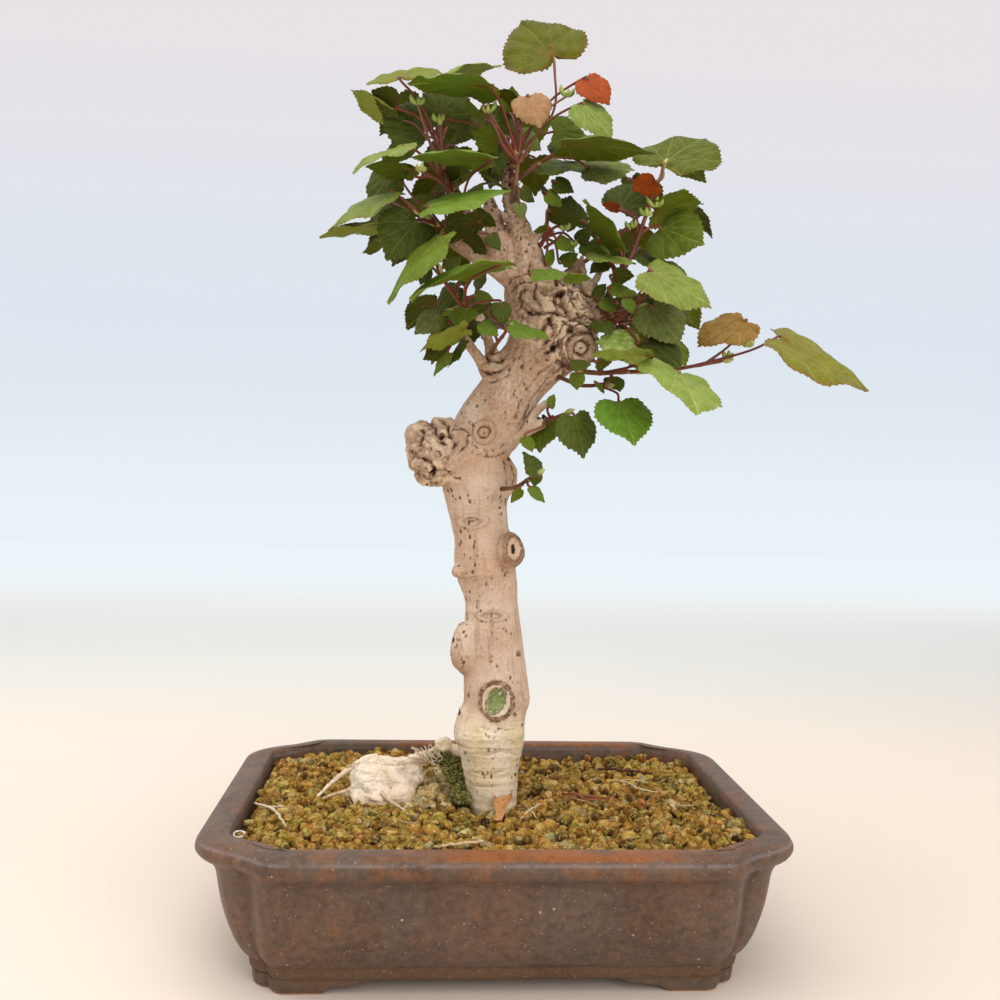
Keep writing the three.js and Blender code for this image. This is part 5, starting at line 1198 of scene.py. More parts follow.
def add_blade(build, blade, roll):
    """One blade: an upper and a lower skin that meet at the toothed edge."""
    half_count = int(clamp(blade.length * TEETH_PER_MM, 8, 26)) * 2 + 1
    outline = heart_outline(half_count)
    normal = np.gradient(outline * [1, 0.5], axis=0)
    normal = np.stack([-normal[:, 1], normal[:, 0]], 1)
    normal /= np.linalg.norm(normal, axis=1)[:, None] + 1e-9
    if normal[half_count // 2, 1] < 0:
        normal = -normal
    fade = np.minimum(np.linspace(0, 1, half_count) * 8, 1)
    tooth = np.array([(-0.45, 0.6)[i % 2] for i in range(half_count)]) * fade
    tooth[-1] = 0.6
    size = clamp(1.05 / blade.length, 0.014, 0.036)
    uneven = np.array([roll.uniform(0.5, 1.5) for _ in range(half_count)])
    lean = np.array([(0, 0.5)[i % 2] for i in range(half_count)]) * fade
    edge_half = outline + (normal * (tooth * uneven * size)[:, None] * [1, 2])
    edge_half[:-1] += (outline[1:] - outline[:-1]) * lean[:-1, None]
    edge_half[0] = (0, 0)
    mirrored = edge_half[1:-1][::-1] * [1, -1]
    uneven_side = 1 + roll.uniform(-0.05, 0.05)
    smooth_all = np.concatenate([outline, outline[1:-1][::-1] * [1, -1]])
    edge_all = np.concatenate([edge_half, mirrored * [1, uneven_side]])
    count = len(edge_all)
    phase = [roll.uniform(0, math.tau) for _ in range(4)]
    wave = blade.half * roll.uniform(0.025, 0.06)
    rows, flat = [], []
    for r in (1.0, 0.955, 0.88, 0.76, 0.6, 0.42, 0.22):
        source = edge_all if r == 1.0 else smooth_all
        rows.append(BLADE_CENTRE + (source - BLADE_CENTRE) * r)
        flat.append(np.full(count, r))
    xy = np.concatenate([*rows, [BLADE_CENTRE]])
    reach = np.concatenate([*flat, [0]])
    x, y = xy[:, 0], xy[:, 1]
    true_y = np.abs(y) * blade.half / blade.length
    angle = np.arctan2(true_y, x + 1e-6)
    lift = wave * reach**3 * (
        np.sin(angle * 5 + phase[0] + np.sign(y) * phase[1]) + 0.6 * np.sin(angle * 11 + phase[2] * np.sign(y))
    )
    # the skin swells a little between the main veins
    far = np.hypot(x, true_y)
    veins = np.radians([0, 24, 50, 80, 112])
    gap = np.min(np.abs(np.sin(angle[:, None] - veins[None, :])), axis=1) * far
    swell = 0.035 * np.minimum(gap * 9, 1) * soft(far, 0.02, 0.12) * (1 - reach**6)
    lift += blade.length * (swell - 0.012)
    lift *= np.where(far < 0.03, 0, 1)
    thick = 0.2
    upper = blade.at(x, y, lift + thick)
    lower = blade.at(x, y, lift - thick)
    edge = blade.at(x[:count], y[:count], lift[:count])
    upper[:count] = edge
    faces = []
    for r in range(len(rows) - 1):
        for i in range(count):
            j = (i + 1) % count
            faces.append([r * count + i, r * count + j, (r + 1) * count + j, (r + 1) * count + i])
    centre = len(rows) * count
    last = (len(rows) - 1) * count
    faces += [[last + i, last + (i + 1) % count, centre] for i in range(count)]
    lower_faces = []
    shift = centre + 1 - count
    index = lambda k: k if k < count else k + shift
    for face in faces:
        lower_faces.append([index(k) for k in face[::-1]])
    points = [*upper, *lower[count:]]
    turned = np.cross(points[faces[0][1]] - points[faces[0][0]], points[faces[0][2]] - points[faces[0][0]])
    all_faces = faces + lower_faces
    if turned @ blade.face < 0:
        all_faces = [face[::-1] for face in all_faces]
    total = len(points)
    uv = list(zip(x, y * blade.half / blade.length))
    uv = uv + uv[count:]
    under = [0.0] * (centre + 1) + [1.0] * (total - centre - 1)
    margin = list(np.clip((reach - 0.9) * 10, 0, 1))
    margin = margin + margin[count:]
    colour, vein, mottle = TONES[blade.tone]
    colour, vein = np.array(tint(colour)), np.array(tint(vein))
    shift = roll.uniform(0.85, 1.15)
    colour = tuple(np.append(colour[:3] * shift, 1))
    red = 0.5 if blade.name in RED_EDGED else roll.uniform(0.08, 0.3)
    build.add(
        points, all_faces, uv=uv, under=under, margin=[m * red * 2 for m in margin], redness=red * 1.6, shade=colour,
        veins=tuple(vein), vary=roll.random(), patchy=float(mottle), part=0,
    )


def add_stalk(build, line, blade, roll):
    path = smooth_line(stalk_path(line, blade), 5)
    count = len(path)
    steps = np.arange(count)
    radii = 0.8 + 0.22 * bell(steps - count + 1, 3) + 0.35 * bell(steps, 2)
    radii[-1] = 0.5
    red = tint(roll.choice(["#84341f", "#722c1c", "#8f4226", "#7a4a2c"]))
    green = tint("#7b7a40")
    shade = []
    for i in range(count):
        t = soft(np.array(i / (count - 1)), 0.75, 1.05) * 0.7
        shade += [tuple(lerp(np.array(red), np.array(green), t))] * 7
    tube(build, path, radii, 7, shade=shade, part=1)


def make_spray(name, path, leaves, thick, roll):
    build = Build()
    leaves = leaves + [leaf(*row) for row in FILLERS.get(name, [])]
    line = [seen(*p) for p in path]
    smooth_path = smooth_line(line, 6)
    count = len(smooth_path)
    radii = []
    for i in range(count):
        t = i / (count - 1)
        node = 0.25 * (1 if i % 6 == 0 else 0)
        radii.append(lerp(thick * 0.9, 0.95, t) + node)
    radii[-1] = 0.5
    bark, young = np.array(tint("#8a6c4c" if thick > 2.1 else "#6a4a30")), np.array(tint("#7c3a24"))
    shade = [tuple(lerp(bark, young, min(1, i / count * 1.6))) for i in range(count) for _ in range(8)]
    tube(build, smooth_path, radii, 8, shade=shade, part=1)
    for blade in leaves:
        add_blade(build, blade, roll)
        add_stalk(build, line, blade, roll)
    # the bud that ends the shoot
    end, before = smooth_path[-1], smooth_path[-3]
    ahead = unit(end - before)
    bud = [end + ahead * d for d in (-0.5, 1.0, 3.0, 5.0, 6.4)]
    tube(build, bud, [1.0, 1.7, 1.9, 1.1, 0.15], 7, shade=tint("#a9b45c"), part=1)
    for blade in leaves[::2]:
        start = stalk_path(line, blade)[0]
        out = unit(blade.place - start + ahead * 6)
        small_bud = [start + out * d for d in (0, 1.2, 2.8, 4.2)]
        tube(build, small_bud, [0.8, 1.2, 0.9, 0.1], 6, shade=tint("#a4a855"), part=1)
    for stem in STEMS.get(name, ()):
        points = smooth_line([seen(*p) for p in stem], 5)
        shade = [tuple(lerp(young, bark, roll.uniform(0, 0.5)))] * (len(points) * 7)
        tube(build, points, np.linspace(1.15, 0.7, len(points)), 7, shade=shade, part=1)
    for px, py, depth, long in BUDS.get(name, ()):
        for lean in (-0.5, 0.05, 0.55):
            start = seen(px + lean * 2, py, depth)
            way = unit(UP + RIGHT * (lean + roll.uniform(-0.2, 0.2)) + LOOK * roll.uniform(-0.4, 0.2))
            size = long * roll.uniform(0.6, 1) * 0.7
            bend = RIGHT * lean * size * 0.25
            path = [start, start + way * size * 0.3 + bend, start + way * size * 0.65 + bend, start + way * size]
            shade = tint(roll.choice(["#a9b75a", "#b9bd62", "#93a648"]))
            tube(build, smooth_line(path, 2), [0.6, 1.1, 1.5, 1.6, 1.3, 0.8, 0.1], 6, shade=shade, part=1)
    return build.finish(name + "_leaves", LEAF, "leaf", [name], smooth=60, second=STALK)


FILLERS = {
    "leader_shoot": [
        ("fill_a", 497, 143, 471, 133, 10, -24, -14, -1, "mid"),
        ("fill_b", 504, 152, 492, 173, 14, 8, -10, -1, "dark"),
        ("fill_c", 521, 134, 541, 150, 12, -16, 6, 1, "light"), ("fill_d", 514, 103, 494, 92, 8, -16, -2, 1, "olive"),
        ("fill_x", 478, 116, 466, 100, 14, 4, -18, -1, "mid"), ("fill_x2", 502, 186, 484, 176, 10, 10, 2, -1, "dark"),
        ("fill_x3", 500, 168, 484, 162, 8, 14, 4, -1, "mid"), ("fill_x4", 522, 190, 534, 202, 8, -12, -12, 1, "dark"),
    ],
    "left_top_shoot": [
        ("fill_e", 455, 184, 476, 172, 4, -12, -22, 1, "mid"),
        ("fill_f", 446, 170, 462, 182, 10, -10, -24, 1, "dark"),
        ("fill_g", 436, 196, 452, 210, 14, -10, -14, -1, "dark"),
        ("fill_h", 470, 198, 484, 184, 10, 8, -10, 1, "dark"),
        ("fill_y", 414, 176, 400, 164, 12, -10, -22, -1, "mid"),
    ],
    "left_mid_shoot": [
        ("fill_i", 468, 238, 486, 254, 12, -14, -26, -1, "dark"),
        ("fill_j", 490, 236, 500, 250, 12, -8, -24, -1, "dark"),
        ("fill_j2", 476, 214, 496, 226, 8, -14, -18, -1, "mid"),
        ("fill_k", 450, 214, 470, 222, 4, -14, -24, -1, "mid"),
        ("fill_z", 430, 248, 446, 262, 12, -12, -18, -1, "dark"),
    ],
    "left_low_shoot": [
        ("fill_l1", 446, 268, 462, 258, 8, 12, -18, 1, "mid"), ("fill_l2", 462, 284, 470, 270, 12, 4, -14, 1, "dark"),
    ],
    "leader_side_shoot": [
        ("fill_l", 551, 212, 568, 224, 8, -14, -18, -1, "dark"),
        ("fill_m", 560, 240, 575, 252, 10, -10, -16, -1, "mid"),
        ("fill_n", 548, 194, 562, 206, 8, -12, -14, 1, "mid"), ("fill_o", 566, 226, 583, 214, 8, 12, -4, 1, "dark"),
        ("fill_o2", 556, 182, 574, 192, 8, -14, -10, -1, "dark"),
        ("fill_o3", 578, 240, 592, 228, 10, 10, -2, 1, "dark"), ("fill_o4", 551, 200, 540, 184, 12, 6, -6, 1, "dark"),
        ("fill_o5", 563, 262, 578, 254, 8, 12, -4, 1, "mid"), ("fill_o6", 548, 262, 554, 249, 8, 8, -10, 1, "bright"),
    ],
    "right_mid_shoot": [
        ("fill_p", 606, 262, 590, 273, 12, 10, -14, -1, "dark"), ("fill_q", 600, 238, 613, 226, 10, 10, -8, 1, "mid"),
        ("fill_r", 656, 212, 703, 205, 8, -36, -10, 1, "mid"), ("fill_s", 612, 254, 630, 244, 8, 14, -4, 1, "dark"),
    ],
    "right_hub_shoot": [
        ("fill_t", 604, 300, 616, 312, 12, -10, -22, -1, "mid"),
        ("fill_u", 618, 340, 606, 352, 12, 10, -28, -1, "mid"), ("fill_v", 596, 296, 606, 284, 10, 8, -16, 1, "dark"),
    ],
}
STEMS = {
    "leader_shoot": [
        [(517, 162, -12), (505, 150, -20), (496, 130, -24), (487, 113, -24)],
        [(519, 152, -10), (521, 130, -16), (519, 113, -16)],
        [(520, 142, -10), (534, 124, -14), (549, 108, -18), (567, 96, -20)],
    ],
    "left_top_shoot": [
        [(457, 206, -18), (441, 182, -26), (421, 172, -28)], [(448, 172, -20), (430, 142, -26), (418, 105, -28)],
        [(456, 206, -18), (446, 190, -22), (432, 150, -24), (424, 120, -24)],
    ],
    "leader_side_shoot": [
        [(541, 246, -8), (546, 238, -12), (554, 231, -14)], [(544, 248, -8), (556, 240, -12), (565, 229, -14)],
    ],
    "right_hub_shoot": [
        [(600, 316, -10), (604, 302, -14), (608, 290, -16)], [(604, 322, -12), (616, 319, -18), (628, 313, -20)],
        [(610, 322, -14), (624, 316, -20), (636, 298, -22), (646, 284, -22)],
        [(612, 322, -12), (636, 320, -20), (653, 305, -22)], [(600, 314, -8), (612, 311, -12), (626, 307, -14)],
    ],
}
BUDS = {
    "leader_shoot": [(487, 113, -24, 14), (519, 113, -16, 14), (567, 97, -20, 13)],
    "left_top_shoot": [(418, 105, -28, 11), (421, 172, -28, 9), (438, 122, -20, 9)],
    "left_mid_shoot": [(436, 226, -28, 6)], "left_low_shoot": [(438, 284, -22, 7)],
    "leader_side_shoot": [(565, 230, -14, 8), (572, 247, -14, 8)],
    "right_mid_shoot": [(656, 207, -20, 13), (646, 216, -20, 11), (631, 228, -18, 10)],
    "long_right_shoot": [(728, 359, -26, 9), (747, 347, -28, 8), (640, 374, -18, 7)],
}


SPRAYS = [
    shoot(
        "leader_shoot", [(511, 203, -2), (515, 192, -10), (517, 165, -10), (516, 130, -8), (517, 112, -6)],
        [
            ("topmost", 554, 58, 518, 25, 76, -31, -10, 1, "olive"),
            ("peach", 529, 98, 540, 126, 38, -8, -19, -1, "peach"),
            ("wide_olive", 487, 87, 407, 85, 14, 24, -41, 1, "fresh"),
            ("far_pale", 440, 78, 502, 67, 8, -14, 14, 1, "light"),
            ("dark_up", 441, 117, 462, 84, 46, 26, -2, 1, "dark"),
            ("small_olive_up", 512, 110, 512, 88, 24, 4, 4, 1, "mid"),
            ("dark_inner", 483, 139, 500, 108, -44, -22, 4, 1, "dark"),
            ("green_right", 555, 132, 588, 137, -4, -34, -7, 1, "mid"),
            ("orange_tip", 587, 80, 610, 103, 26, -14, -24, -1, "orange"),
            ("folded_pale", 583, 106, 613, 138, 28, -14, -30, -1, "light"),
            ("spotted_front", 520, 204, 521, 218, 14, 0, -24, -1, "grey"),
        ],
        2.2,
    ),
    shoot(
        "right_top_shoot", [(514, 182, 0), (530, 170, -8), (545, 160, -10), (567, 150, -12)],
        [
            ("edge_long", 567, 146, 656, 155, 8, -22, -46, 1, "mid"),
            ("dark_under", 560, 142, 578, 160, 30, -10, 14, -1, "dark"),
            ("edge_low", 540, 166, 605, 168, 6, 12, 8, 1, "mid"),
            ("grey_fold", 588, 168, 634, 172, 6, -26, -14, -1, "grey"),
        ],
    ),
    shoot(
        "leader_side_shoot", [(536, 250, -2), (545, 236, -10), (550, 205, -10), (560, 188, -8)],
        [
            ("dark_c1", 572, 222, 570, 196, 34, 10, 10, 1, "dark"),
            ("dark_c2", 606, 236, 584, 226, 4, -18, 24, 1, "dark"),
            ("small_side", 546, 228, 533, 232, 2, -8, -16, -1, "mid"),
        ],
    ),
    shoot(
        "right_mid_shoot", [(598, 316, 0), (612, 288, -8), (630, 258, -14), (648, 210, -18), (664, 167, -16)],
        [
            ("right_curl", 665, 164, 705, 139, -80, -16, -16, 1, "straw"),
            ("dark_r1", 621, 210, 634, 184, 44, 14, 8, 1, "dark"),
            ("olive_r2", 662, 229, 703, 245, 34, -44, -8, -1, "mid"),
            ("orange_b", 655, 183, 632, 190, -14, -22, -29, 1, "orange"),
            ("orange_c", 618, 208, 602, 204, 2, -10, -10, 1, "orange"),
            ("narrow_light", 617, 247, 583, 202, 22, -2, -30, -1, "mid"),
            ("mid_c3", 590, 243, 608, 260, 26, -12, -4, -1, "mid"),
            ("edge_c4", 592, 256, 636, 264, 4, 8, -28, 1, "light"),
            ("dark_c5", 640, 252, 656, 270, 40, 4, 2, -1, "dark"),
        ],
        2.6,
    ),
    shoot(
        "left_top_shoot", [(468, 250, -8), (464, 236, -16), (456, 205, -18), (443, 160, -20), (440, 124, -20)],
        [
            ("edge_red", 401, 79, 410, 71, 74, -10, -30, 1, "lit"),
            ("round_dark", 396, 106, 372, 92, -10, 26, -16, 1, "dark"),
            ("light_l3", 389, 117, 352, 92, -16, 14, 0, -1, "light"),
            ("big_dark_l5", 424, 131, 382, 110, -32, 38, -6, 1, "dark"),
            ("light_l30", 404, 147, 353, 171, 24, -3, -46, -1, "light", 0, 0.2),
            ("green_l31", 402, 171, 366, 167, 6, -16, -28, -1, "mid"),
            ("bright_edge", 487, 160, 410, 158, 6, -16, -54, -1, "bright"),
            ("behind_l42", 498, 178, 496, 152, 16, 2, 20, 1, "dark"),
        ],
        2.4,
    ),
    shoot(
        "left_mid_shoot", [(458, 244, -14), (446, 232, -24), (430, 218, -30)],
        [
            ("dark_l32", 392, 174, 368, 204, 28, 20, -12, -1, "dark"),
            ("light_l33", 390, 194, 329, 231, 20, 4, -36, -1, "light", 0, 0.2),
            ("pale_l34", 386, 224, 320, 237, 0, 12, -19, -1, "light"),
            ("dark_l35", 390, 206, 374, 230, 18, 10, 2, -1, "dark"),
            ("dark_l36", 398, 220, 368, 244, 14, 22, 20, -1, "dark"),
            ("yellow_l37", 385, 240, 362, 253, 4, -16, -8, -1, "mid"),
            ("big_dark_l38", 416, 222, 386, 258, 50, 34, -41, -1, "dark"),
            ("bright_l40", 430, 207, 512, 193, 0, -16, -62, -1, "bright"),
            ("bluish_l41", 478, 222, 428, 240, 8, -26, -47, -1, "dark"),
        ],
    ),
    shoot(
        "left_low_shoot",
        [(480, 320, -4), (472, 314, -12), (463, 309, -15), (455, 296, -18), (446, 283, -20), (441, 272, -22)],
        [
            ("long_light", 441, 238, 387, 302, 22, 6, -78, -1, "mid", 0, 0.15),
            ("dark_l50", 424, 262, 420, 284, 20, 12, -14, -1, "dark"),
            ("edge_light", 500, 265, 411, 301, 6, -12, -68, -1, "bright", 0, 0.4),
            ("dark_narrow", 482, 272, 476, 294, 11, 2, 4, -1, "dark"),
            ("mid_l51", 476, 296, 494, 300, 2, -14, -22, 1, "mid"),
            ("dark_l52", 456, 288, 438, 312, 18, 12, -6, -1, "dark"),
            ("round_l61", 500, 304, 504, 324, 20, -2, -43, -1, "dark"),
        ],
    ),
    shoot(
        "left_stub_shoot", [(465, 341, -6), (458, 330, -14), (450, 322, -17), (440, 317, -20)],
        [
            ("spotted_l53", 438, 315, 415, 334, 20, 16, -32, -1, "grey"),
            ("light_l54", 464, 329, 420, 352, 8, 16, -49, -1, "light"),
            ("dark_l55", 446, 342, 424, 360, 6, 22, -22, -1, "dark"),
            ("narrow_l56", 448, 354, 434, 376, 10, 4, -34, -1, "mid"),
            ("narrow_l57", 464, 342, 448, 368, 8, 4, -28, -1, "mid"),
            ("olive_l58", 458, 322, 440, 334, 16, 18, -3, -1, "olive"),
            ("mid_l59", 466, 310, 456, 326, 26, 4, -44, -1, "mid"),
            ("dark_l60", 470, 322, 474, 342, 26, -4, 6, -1, "dark"),
        ],
    ),
    shoot(
        "stub_base_shoot", [(491, 354, -6), (495, 346, -24), (502, 337, -38), (507, 330, -42)],
        [
            ("burl_leaf_l", 510, 326, 549, 338, -2, -14, -46, 1, "bright"),
            ("bright_l62", 482, 324, 498, 336, 12, -12, -40, -1, "bright"),
        ],
    ),
    shoot(
        "burl_top_shoot", [(558, 290, -12), (556, 279, -32), (562, 276, -40)],
        [
            ("burl_leaf_t", 534, 274, 567, 276, 0, -12, -49, 1, "bright", 0, 0.15),
            ("burl_leaf_r", 566, 278, 592, 279, 2, -10, -42, 1, "bright"),
        ],
    ),
    shoot(
        "burl_low_shoot", [(562, 366, -14), (570, 366, -34), (575, 368, -38)],
        [
            ("right_low_dark", 572, 365, 591, 365, 0, -12, -40, 1, "dark"),
            ("pointed_low", 577, 374, 577, 390, 16, 0, -38, -1, "mid"),
        ],
    ),
    shoot(
        "right_hub_shoot", [(594, 326, -6), (606, 318, -14), (622, 318, -18), (640, 308, -20)],
        [
            ("big_light", 652, 273, 711, 308, 26, -29, -52, -1, "light"),
            ("olive_behind", 656, 268, 693, 286, 16, -20, -20, -1, "mid"),
            ("round_dark_r", 614, 276, 634, 276, 2, -18, -17, 1, "dark"),
            ("mid_r7", 612, 288, 638, 296, 4, -12, -26, -1, "mid"),
            ("dark_r8", 650, 300, 692, 322, 14, -24, -6, -1, "dark"),
            ("grey_under", 652, 308, 680, 344, 42, -20, -26, -1, "grey"),
            ("bright_small", 628, 300, 632, 314, 14, 0, -34, -1, "bright"),
            ("dark_r9", 600, 322, 608, 334, 24, -4, -26, -1, "dark"),
            ("dark_r10", 616, 328, 626, 336, 12, -10, -22, -1, "dark"),
            ("variegated_a", 634, 344, 596, 342, 2, -32, -36, 1, "variegated"),
        ],
        2.2,
    ),
    shoot(
        "long_right_shoot",
        [
            (566, 364, 0), (582, 371, -4), (600, 373, -10), (621, 372, -14), (662, 371, -18), (700, 365, -24),
            (724, 361, -26),
        ],
        [
            ("far_right", 781, 339, 866, 392, 10, -28, -34, 1, "yellow"),
            ("tan", 743, 322, 700, 346, 38, 22, -32, -1, "tan"),
            ("light_r13", 676, 372, 698, 411, 78, 30, -60, -1, "light"),
            ("dark_r12", 648, 342, 680, 368, 34, -22, -27, -1, "dark"),
            ("brownish", 668, 344, 686, 366, 26, -10, -22, -1, "mid"),
            ("variegated_b", 648, 356, 592, 356, 4, 16, -62, 1, "variegated"),
            ("dark_r11", 598, 362, 612, 362, 4, -16, -30, 1, "dark"),
        ],
        2.2,
    ),
    shoot(
        "heart_shoot", [(552, 374, -8), (580, 385, -14), (600, 385, -18), (606, 385, -20)],
        [
            ("heart", 620, 403, 634, 444, 56, -2, -44, -1, "fresh"),
            ("behind_heart", 612, 378, 620, 392, 20, -2, -4, -1, "mid"),
            ("thin_l71", 598, 384, 604, 394, 6, 0, -28, -1, "mid"),
        ],
    ),
    shoot(
        "low_right_shoot", [(538, 426, -19), (552, 419, -26), (566, 413, -31)],
        [
            ("low_dark", 574, 417, 584, 458, 38, -8, -34, -1, "dark"),
            ("low_left", 544, 420, 540, 452, 34, -4, -11, -1, "mid"),
            ("low_left2", 526, 438, 532, 452, 14, -2, -34, -1, "mid"),
            ("stub_leaf", 550, 406, 554, 394, 8, 6, -30, 1, "mid"),
        ],
    ),
    shoot(
        "trunk_twig", [(500, 489, -14), (516, 487, -30), (527, 480, -36), (537, 474, -40)],
        [
            ("twig_up", 538, 473, 523, 452, 14, -10, -40, 1, "dark"),
            ("twig_mid", 537, 474, 535, 487, 12, 0, -32, -1, "mid"),
            ("twig_low", 532, 488, 544, 503, 10, -6, -42, -1, "mid"),
            ("twig_left", 520, 490, 511, 503, 8, 6, -44, -1, "mid"),
        ],
    ),
]
# Leaves of the back, where the view behind the burl and between the shoots is full as well
BACK_SPRAYS = [
    back_shoot(
        "back_top_left", [(492, 265, -6), (484, 248, 10), (466, 215, 26), (446, 160, 36), (436, 112, 40)],
        [
            ("back_a1", 420, 104, 52, 40, 24, 10, "dark"), ("back_a2", 448, 96, 62, 38, 30, -12, "mid"),
            ("back_a3", 470, 118, 66, 42, 20, 6, "dark"), ("back_a4", 418, 140, 44, 36, 34, -8, "mid"),
            ("back_a5", 456, 150, 74, 40, 38, 14, "dark"), ("back_a6", 440, 178, 71, 34, 42, -6, "olive"),
        ],
        2.2,
    ),
    back_shoot(
        "back_left", [(506, 276, -2), (497, 270, 14), (470, 245, 24), (440, 228, 34), (420, 214, 38)],
        [
            ("back_b1", 408, 208, 44, 36, 26, 8, "dark"), ("back_b2", 430, 200, 62, 38, 22, -10, "mid"),
            ("back_b3", 420, 232, 58, 34, 40, 12, "dark"), ("back_b4", 452, 226, 72, 38, 30, -6, "dark"),
            ("back_b5", 470, 240, 50, 30, 44, 8, "olive"),
        ],
        2,
    ),
    back_shoot(
        "back_burl", [(548, 312, 14), (548, 300, 34), (552, 296, 52), (556, 300, 66)],
        [
            ("back_c1", 530, 296, 84, 38, 24, 10, "dark"), ("back_c2", 566, 292, 60, 40, 20, -8, "mid"),
            ("back_c3", 550, 306, 78, 40, 36, 0, "dark"), ("back_c4", 536, 334, 62, 36, 46, -12, "mid"),
            ("back_c5", 574, 330, 58, 34, 50, 12, "dark"), ("back_c6", 552, 276, 44, 30, 14, 6, "olive"),
        ],
        2,
    ),
    back_shoot(
        "back_right", [(584, 322, 12), (610, 312, 26), (636, 306, 34), (652, 304, 40)],
        [
            ("back_d1", 664, 300, 46, 38, 28, -10, "mid"), ("back_d2", 640, 296, 62, 40, 24, 8, "dark"),
            ("back_d3", 612, 302, 56, 34, 30, -6, "dark"), ("back_d4", 650, 330, 50, 36, 44, 12, "olive"),
            ("back_d5", 622, 334, 60, 36, 46, -10, "dark"),
        ],
        2,
    ),
    back_shoot(
        "back_low_left", [(528, 342, 14), (500, 326, 30), (470, 314, 38), (450, 308, 42)],
        [
            ("back_e1", 438, 302, 46, 34, 30, 8, "dark"), ("back_e2", 466, 298, 60, 36, 22, -10, "mid"),
            ("back_e3", 494, 306, 66, 36, 34, 10, "dark"), ("back_e4", 452, 330, 54, 32, 46, -8, "olive"),
        ],
        1.9,
    ),
    back_shoot(
        "back_leader", [(511, 205, 6), (508, 176, 18), (512, 146, 26), (518, 122, 30)],
        [
            ("back_f1", 506, 112, 44, 32, 18, 8, "dark"), ("back_f2", 530, 118, 42, 34, 26, -10, "mid"),
            ("back_f3", 502, 150, 50, 34, 38, 6, "dark"), ("back_f4", 534, 160, 38, 28, 44, -8, "olive"),
        ],
        1.9,
    ),
    back_shoot(
        "back_right_top", [(566, 286, 4), (574, 270, 14), (606, 246, 22), (640, 214, 28), (660, 180, 28)],
        [
            ("back_g1", 668, 158, 30, 34, 22, -8, "mid"), ("back_g2", 684, 208, 30, 30, 40, 10, "dark"),
            ("back_g3", 632, 180, 46, 34, 30, 8, "dark"), ("back_g4", 630, 232, 44, 32, 42, -8, "olive"),
        ],
        2,
    ),
]


# Soil
SOIL_FRONT_Z, SOIL_BACK_Z = 78.0, 72.0
SOIL_INSET = 20.7
BED_DEPTH = 3.4
GRANULE_PITCH = 6.6
LOOSE_GRANULES = 420
PEBBLE_TRIES = 260


def soil_top(x, y):
    slope = lerp(SOIL_FRONT_Z, SOIL_BACK_Z, (y + RIM_HALF_WIDTH) / (2 * RIM_HALF_WIDTH))
    mound = 6 * math.exp(-((x + 95) ** 2 + (y - 80) ** 2) / 2600)
    return slope + mound + 1.5 * math.sin(x / 31) * math.cos(y / 27)


def make_soil_bed():
    """The bed that shows between the granules, down to the pot's floor; its dark colour is painted shade."""
    build = Build()
    outline = pot_ring(SOIL_INSET, 0)
    count = len(outline)
    rows = []
    for r in np.linspace(0.04, 1, 26):
        rows.append([np.array([p[0] * r, p[1] * r, 0]) for p in outline])
    for row in rows:
        for p in row:
            wobble = noise.noise(Vector((p[0] / 7, p[1] / 7, 3)))
            p[2] = soil_top(p[0], p[1]) - BED_DEPTH + wobble * 1.5
    walls = []
    for inset, z in ((22.5, 43), (30.5, 22.3), (42.5, 13.4), (50.5, 12.4)):
        walls.append([np.array([p[0], p[1], z]) for p in pot_ring(inset, 0)])
    rings = rows + walls
    points = [p for row in rings for p in row]
    faces = ring_faces(len(rings), count)
    points.append(np.array([0, 0, soil_top(0, 0) - BED_DEPTH]))
    faces += [[(i + 1) % count, i, len(points) - 1] for i in range(count)]
    points.append(np.array([0, 0, 12.4]))
    last = (len(rings) - 1) * count
    faces += [[last + i, last + (i + 1) % count, len(points) - 1] for i in range(count)]
    build.add(points, faces)
    return build.finish("soil_bed", painted_shade_soil(), "soil_granules", ["soil"], smooth=60)


def granule_shapes(level, kinds=8):
    """A few broken granules to copy."""
    roll = random.Random(level)
    start, faces = ball(level)
    shapes = []
    for k in range(kinds):
        points = start * (1 + 0.3 * waves(start, 0.85, k + 1) + 0.2 * waves(start, 0.4, k + 31))[:, None]
        for _ in range(6):
            way = unit(np.array([roll.gauss(0, 1) for _ in range(3)]))
            over = np.maximum(points @ way - roll.uniform(0.62, 0.85), 0)
            points = points - np.outer(over * 0.85, way)
        points *= (1 + 0.13 * waves(points, 0.24, k + 61) + 0.07 * waves(points, 0.11, k + 91))[:, None]
        shapes.append((points, faces))
    return shapes


GRANULE_COLOURS = [
    ("#c4964a", 26), ("#d3a85c", 20), ("#b08536", 18), ("#dcbb78", 9), ("#a8923c", 8), ("#9c6c30", 10),
    ("#6d4724", 6), ("#d8c496", 3), ("#543a22", 5), ("#b3763a", 4), ("#a39a6e", 4),
]
PALE_COLOURS = ["#e6dcb8", "#d3c898", "#dccda6", "#c2b788", "#cdb27c"]


def clear_of_wood(x, y):
    """True where no trunk, root or moss stands in the way of a granule."""
    if math.hypot((x - 1) / 18, (y + 13) / 17) < 1:
        return False
    if math.hypot((x + 70) / 22, (y - 13) / 22) < 1:
        return False
    return math.hypot((x + 25) / 10, (y - 12) / 32) >= 1


def turned(roll):
    """A random turn as a matrix."""
    axis = unit(np.array([roll.gauss(0, 1) for _ in range(3)]))
    return np.array(Matrix.Rotation(roll.uniform(0, math.tau), 3, Vector(axis)))


